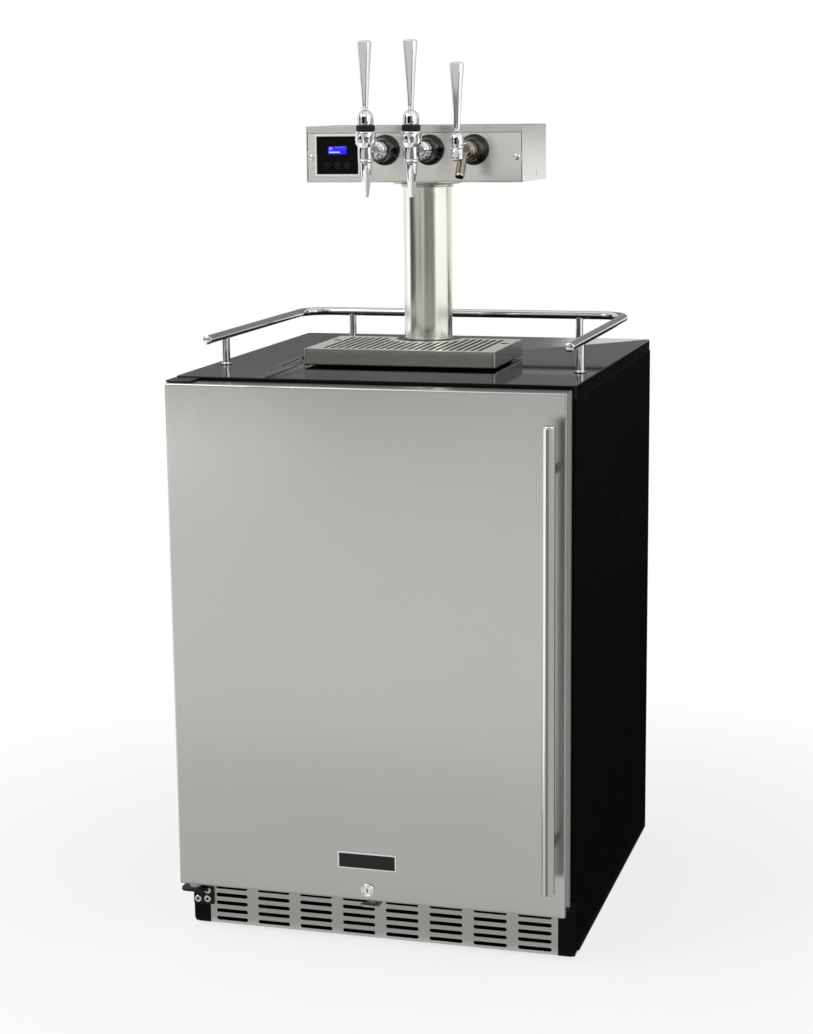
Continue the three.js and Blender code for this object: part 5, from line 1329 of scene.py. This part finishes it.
def levelling_feet():
    """A moulded disc under a threaded stem; the thread is rings whose radius goes as cos(h / pitch)."""
    for number in range(1, 5):
        node = f"levelling_foot_{number}"
        low, high = box(node)
        x, y, _ = middle(node)
        disc = rounded([(0, 0), (17, 0), (18, 1), (18, 3.2), (15, 4.6), (7.4, 5.0), (7.0, 5.7),
                        (5, 5.7)], 0.6)
        heights = np.arange(6.2, high[2] - 0.9, FOOT_PITCH / 4)
        thread = [(4.75 + 0.25 * math.cos(TAU * h / FOOT_PITCH), h) for h in heights]
        profile = [*disc, *thread, (4.2, high[2]), (0, high[2])]
        shell = Shell().turned(profile, (x, y, low[2]), sides=48)
        shell.piece(node + "_turned", "black_plastic", "black_plastic", (node,), body=node)


# Stage

def area_light(name, place, size, power):
    """A square soft light that faces the object."""
    light = bpy.data.lights.new(name, "AREA")
    light.shape, light.size, light.size_y, light.energy = "RECTANGLE", size, size, power
    holder = placed(name, light)
    holder.location = place
    ahead = Vector((0, 0, 0.7)) - Vector(place)
    holder.rotation_euler = ahead.to_track_quat("-Z", "Y").to_euler()


def flat_piece(name, corners):
    """One flat face in metres, as a stage object."""
    mesh = bpy.data.meshes.new(name)
    mesh.from_pydata(corners, [], [tuple(range(len(corners)))])
    piece = placed(name, mesh)
    return piece


def floor():
    """A wide pale floor: it takes the object's shadow near by and fades to white far off."""
    half = 14.0
    piece = flat_piece("floor", [(-half, -half, 0), (half, -half, 0), (half, half, 0), (-half, half, 0)])
    paint = Paint("floor_white", (0.9, 0.9, 0.9), 0.0, 0.75)
    paint.set("Base Color", paint.tone(paint.noise(0.004, 2.0), 0.985, 1.01))
    far = paint.node("VectorMath", {"operation": "LENGTH"}, {0: paint.place()}, "Value").over(1000, 500)
    seen = paint.ray("Camera") + paint.ray("Glossy") + paint.ray("Transmission")
    white = paint.node("Emission", None, {"Color": (1, 1, 1, 1), "Strength": 1.0})
    paint.surface(paint.node("MixShader", None, {
        0: (far * 0.24 + 0.76) * seen, 1: Wire(paint, paint.shader.outputs[0]), 2: white}))
    piece.data.materials.append(paint.material)


def world():
    """Even pale light; the camera, gloss and glass see it as white."""
    made = bpy.data.worlds.new("soft_room")
    bpy.context.scene.world = made
    nodes = Nodes(made)
    seen = nodes.ray("Camera").maths("MAXIMUM", nodes.ray("Transmission"))
    seen = seen.maths("MAXIMUM", nodes.ray("Glossy"))
    light, white = (nodes.node("Background", None, {"Color": (1, 1, 1, 1), "Strength": strength})
                    for strength in (0.62, 1.0))
    nodes.surface(nodes.node("MixShader", None, {0: seen, 1: light, 2: white}))


def card(name, corners, level):
    """A plain card that only gloss sees, so that bright metal has something darker or lighter to show."""
    piece = flat_piece("card_" + name, corners)
    glow = bpy.data.materials.new(piece.name)
    nodes = Nodes(glow)
    nodes.surface(nodes.node("Emission", None, {"Color": (level, level, level * 0.98, 1)}))
    piece.data.materials.append(glow)
    piece.visible_camera = piece.visible_diffuse = piece.visible_shadow = False
    piece.visible_transmission = False


def upright_card(name, start, end, low, high, level):
    """An upright card over the line from start to end."""
    card(name, [(*start, low), (*end, low), (*end, high), (*start, high)], level)


def round_card(name, bearing, half_angle, distance, low, high, level):
    """An upright card, facing the object at a bearing in degrees that is counted from the camera."""
    angle = math.radians(bearing + CAMERA_BEARING)
    out = np.array([math.sin(angle), -math.cos(angle)]) * distance
    side = np.array([math.cos(angle), math.sin(angle)]) * distance * math.tan(math.radians(half_angle))
    upright_card(name, out - side, out + side, low, high, level)


# Cards that face the object, by bearing from the camera's side and half angle, both in degrees, distance,
# lower and upper edge in metres, and level
ROUND_CARDS = (
    ("front_high", 6, 24, 5.5, 0.75, 3.4, 0.22),
    ("left_high", -46, 28, 5.0, 0.9, 3.4, 0.68),
    ("left_dark_high", -86, 12, 4.2, 1.0, 3.4, 0.02),
    ("right_dark_high", 106, 8, 4.2, 1.0, 3.4, 0.03),
    ("line_left", -10, 2.2, 4.5, 1.0, 2.4, 0.03),
    ("line_right", 33, 2.4, 4.0, 1.0, 2.4, 0.04),
    ("right_light", 66, 34, 4.4, 0.35, 3.4, 1.25),
    ("front_low_dark", -10.5, 13.9, 5.5, 0.26, 0.75, 0.05),
    ("front_low", 21.6, 18, 5.5, 0.26, 0.75, 0.17),
    ("left_low", -48, 21, 5.0, 0.24, 0.9, 0.25),
    ("left_dark", -80, 16, 4.2, 0.26, 1.0, 0.03),
    ("left_bright", -109, 12.5, 4.3, 0.26, 1.0, 1.4),
    ("right_grey", 124, 14, 4.2, 0.05, 0.9, 0.85),
    ("door_high", -50, 14, 4.9, 0.02, 0.28, 1.9),
)
# Cards that stand on a line: its start and end, the lower and upper edge in metres, and level
UPRIGHT_CARDS = (
    ("handle_dark", (0.265, -0.385), (0.2917, -0.385), 0.13, 0.8125, 0.25),
    ("handle_edge", (0.2946, -0.343), (0.302, -0.351), 0.14, 0.82, 0.12),
    ("door_side", (0.3027, -0.2625), (0.314, -0.2625), 0.09, 0.86, 0.34),
    ("nozzle_left", (-0.236, -0.471), (-0.216, -0.481), 0.9, 1.09, 0.02),
    ("nozzle_right", (0.2918, -0.3526), (0.3082, -0.3274), 0.9, 1.09, 0.15),
    ("lever_edge", (-0.25, -0.02), (0.25, -0.02), 1.235, 1.5, 0.7),
    ("side_back", (0.3035, 1.0), (2.8, 1.7), 0, 0.84, 0.01),
    ("back_high", (-6, 5.2), (4, 5.2), 1.12, 6.0, 0.28),
)
# Cards that lie flat: their height in metres, level and corners
FLAT_CARDS = (
    ("tap_low", 1.125, 0.03, (0.11, -0.135), (0.2, -0.135), (0.2, -0.03), (0.11, -0.03)),
    ("handle_right", 0.001, 0.55, (0.32, -0.37), (1.9, -5.9), (6.0, -5.0), (6.0, 3.2)),
    ("handle_left", 0.005, 1.5, (-0.5, -0.46), (-3.4, -5.3), (-5.7, -1.3)),
    ("grille", 0.004, 0.55, (-0.6, -0.5), (0.25, -0.5), (0.32, -0.265), (-0.4, -0.265)),
    ("door_low", 0.003, 0.8, (-1.2, -1.3), (0.1, -1.3), (0.28, -0.5), (-0.6, -0.5)),
    ("side_floor", 0.004, 0.01, (0.3035, -0.34), (1.6, 1.35), (0.3035, 1.0)),
)
CAMERA_PLACE = (0.90181, -3.22254, 1.25404)
CAMERA_TURN = (-16.0053, 10.8238, -0.6257)
CAMERA_SENSOR = 36.0
FOCAL_PIXELS, IMAGE_PIXELS = 2156.05, 1034
CAMERA_BEARING = 16.0


def camera():
    """Stands off to the right and above, where the worktop is seen at a low angle."""
    yaw, pitch, roll = (math.radians(a) for a in CAMERA_TURN)
    ahead = Vector((math.sin(yaw) * math.cos(pitch), math.cos(yaw) * math.cos(pitch), -math.sin(pitch)))
    level = Vector((math.cos(yaw), -math.sin(yaw), 0))
    rise = level.cross(ahead)
    right = math.cos(roll) * level + math.sin(roll) * rise
    up = math.cos(roll) * rise - math.sin(roll) * level
    data = bpy.data.cameras.new("camera")
    data.sensor_width = CAMERA_SENSOR
    data.lens = CAMERA_SENSOR * FOCAL_PIXELS / IMAGE_PIXELS
    holder = placed("camera", data)
    matrix = Matrix((right, up, -ahead)).transposed().to_4x4()
    matrix.translation = Vector(CAMERA_PLACE)
    holder.matrix_world = matrix
    bpy.context.scene.camera = holder


def stage():
    """The floor, the light, the cards and the camera."""
    bpy.context.scene.view_settings.view_transform = "Standard"
    floor()
    world()
    area_light("key_light", (-2.2, -2.8, 3.2), 2.4, 60)
    area_light("fill_light", (2.8, -2.0, 2.2), 2.0, 22)
    for entry in ROUND_CARDS:
        round_card(*entry)
    for entry in UPRIGHT_CARDS:
        upright_card(*entry)
    for name, height, level, *corners in FLAT_CARDS:
        card(name, [(x, y, height) for x, y in corners], level)
    camera()


# Operators and panel

def taps():
    """The order in which the taps' pieces are made."""
    for number in TAPS:
        tap_flange(number)
        tap_lever(number)
    for number in STOUT_TAPS:
        stout_tap(number)
    plain_tap()


class DISPENSER_OT_cabinet(bpy.types.Operator):
    """Paints the panels, the worktop and the inner tub, and sets the back's screws"""
    bl_idname = "dispenser.cabinet"
    bl_label = "Cabinet"

    def execute(self, context):
        cabinet_panels()
        cabinet_screws()
        return {"FINISHED"}


class DISPENSER_OT_grille(bpy.types.Operator):
    """Makes the slotted sheet under the door"""
    bl_idname = "dispenser.grille"
    bl_label = "Kick grille"

    def execute(self, context):
        kick_grille()
        return {"FINISHED"}


class DISPENSER_OT_hinges(bpy.types.Operator):
    """Finishes the hinge plates and the lock's keeper, and adds their screws and sleeve"""
    bl_idname = "dispenser.hinges"
    bl_label = "Hinges and keeper"

    def execute(self, context):
        hinges()
        return {"FINISHED"}


class DISPENSER_OT_door(bpy.types.Operator):
    """Makes the folded skin, the foam, the inner liner and the gasket"""
    bl_idname = "dispenser.door"
    bl_label = "Door"

    def execute(self, context):
        door_skin()
        door_inside()
        return {"FINISHED"}


class DISPENSER_OT_door_fittings(bpy.types.Operator):
    """Makes the bar handle, the bare badge and the lock"""
    bl_idname = "dispenser.door_fittings"
    bl_label = "Door fittings"

    def execute(self, context):
        door_handle()
        badge()
        lock()
        return {"FINISHED"}


class DISPENSER_OT_rail(bpy.types.Operator):
    """Makes the bent tube and its four posts"""
    bl_idname = "dispenser.rail"
    bl_label = "Guard rail"

    def execute(self, context):
        guard_rail()
        return {"FINISHED"}


class DISPENSER_OT_tray(bpy.types.Operator):
    """Makes the tray and its lift-out grid"""
    bl_idname = "dispenser.tray"
    bl_label = "Drip tray"

    def execute(self, context):
        drip_tray()
        drip_grid()
        return {"FINISHED"}


class DISPENSER_OT_column(bpy.types.Operator):
    """Makes the tube with its foot, and the collar"""
    bl_idname = "dispenser.column"
    bl_label = "Column"

    def execute(self, context):
        column()
        return {"FINISHED"}


class DISPENSER_OT_head(bpy.types.Operator):
    """Makes the folded box and its screwed front"""
    bl_idname = "dispenser.head"
    bl_label = "Dispensing head"

    def execute(self, context):
        head()
        return {"FINISHED"}


class DISPENSER_OT_display(bpy.types.Operator):
    """Makes the surround, the fascia, the screen and the keys"""
    bl_idname = "dispenser.display"
    bl_label = "Display"

    def execute(self, context):
        display()
        return {"FINISHED"}


class DISPENSER_OT_taps(bpy.types.Operator):
    """Makes the flanges, the faucets, the nozzles and the levers"""
    bl_idname = "dispenser.taps"
    bl_label = "Taps"

    def execute(self, context):
        taps()
        return {"FINISHED"}


class DISPENSER_OT_lines(bpy.types.Operator):
    """Makes the insulated trunk, its hoses and the shanks they end on"""
    bl_idname = "dispenser.lines"
    bl_label = "Beverage lines"

    def execute(self, context):
        line_trunk()
        tap_shanks()
        return {"FINISHED"}


class DISPENSER_OT_cooling(bpy.types.Operator):
    """Finishes the compressor, the condenser, the fan and the covers"""
    bl_idname = "dispenser.cooling"
    bl_label = "Cooling unit"

    def execute(self, context):
        cooling_unit()
        return {"FINISHED"}


class DISPENSER_OT_feet(bpy.types.Operator):
    """Makes the four threaded feet"""
    bl_idname = "dispenser.feet"
    bl_label = "Levelling feet"

    def execute(self, context):
        levelling_feet()
        return {"FINISHED"}


class DISPENSER_OT_stage(bpy.types.Operator):
    """Sets the floor, the lights and the camera"""
    bl_idname = "dispenser.stage"
    bl_label = "Stage"

    def execute(self, context):
        stage()
        return {"FINISHED"}


OPERATORS = [DISPENSER_OT_cabinet, DISPENSER_OT_grille, DISPENSER_OT_hinges, DISPENSER_OT_door,
             DISPENSER_OT_door_fittings, DISPENSER_OT_rail, DISPENSER_OT_tray, DISPENSER_OT_column,
             DISPENSER_OT_head, DISPENSER_OT_display, DISPENSER_OT_taps, DISPENSER_OT_lines,
             DISPENSER_OT_cooling, DISPENSER_OT_feet, DISPENSER_OT_stage]


class DISPENSER_PT_build(bpy.types.Panel):
    bl_label = "Dispenser"
    bl_space_type = "VIEW_3D"
    bl_region_type = "UI"
    bl_category = "Dispenser"

    def draw(self, context):
        column_layout = self.layout.column()
        for operator in OPERATORS:
            column_layout.operator(operator.bl_idname)
        for group in (context.scene.dispenser_sizes, context.scene.dispenser_looks):
            for name in group.__annotations__:
                column_layout.prop(group, name)


CLASSES = [DispenserSizes, DispenserLooks, *OPERATORS, DISPENSER_PT_build]


def register():
    for entry in CLASSES:
        bpy.utils.register_class(entry)
    bpy.types.Scene.dispenser_sizes = PointerProperty(type=DispenserSizes)
    bpy.types.Scene.dispenser_looks = PointerProperty(type=DispenserLooks)


def unregister():
    del bpy.types.Scene.dispenser_looks
    del bpy.types.Scene.dispenser_sizes
    for entry in reversed(CLASSES):
        bpy.utils.unregister_class(entry)


def main():
    register()
    for operator in OPERATORS:
        getattr(bpy.ops.dispenser, operator.bl_idname.split(".")[1])()


if __name__ == "__main__":
    main()
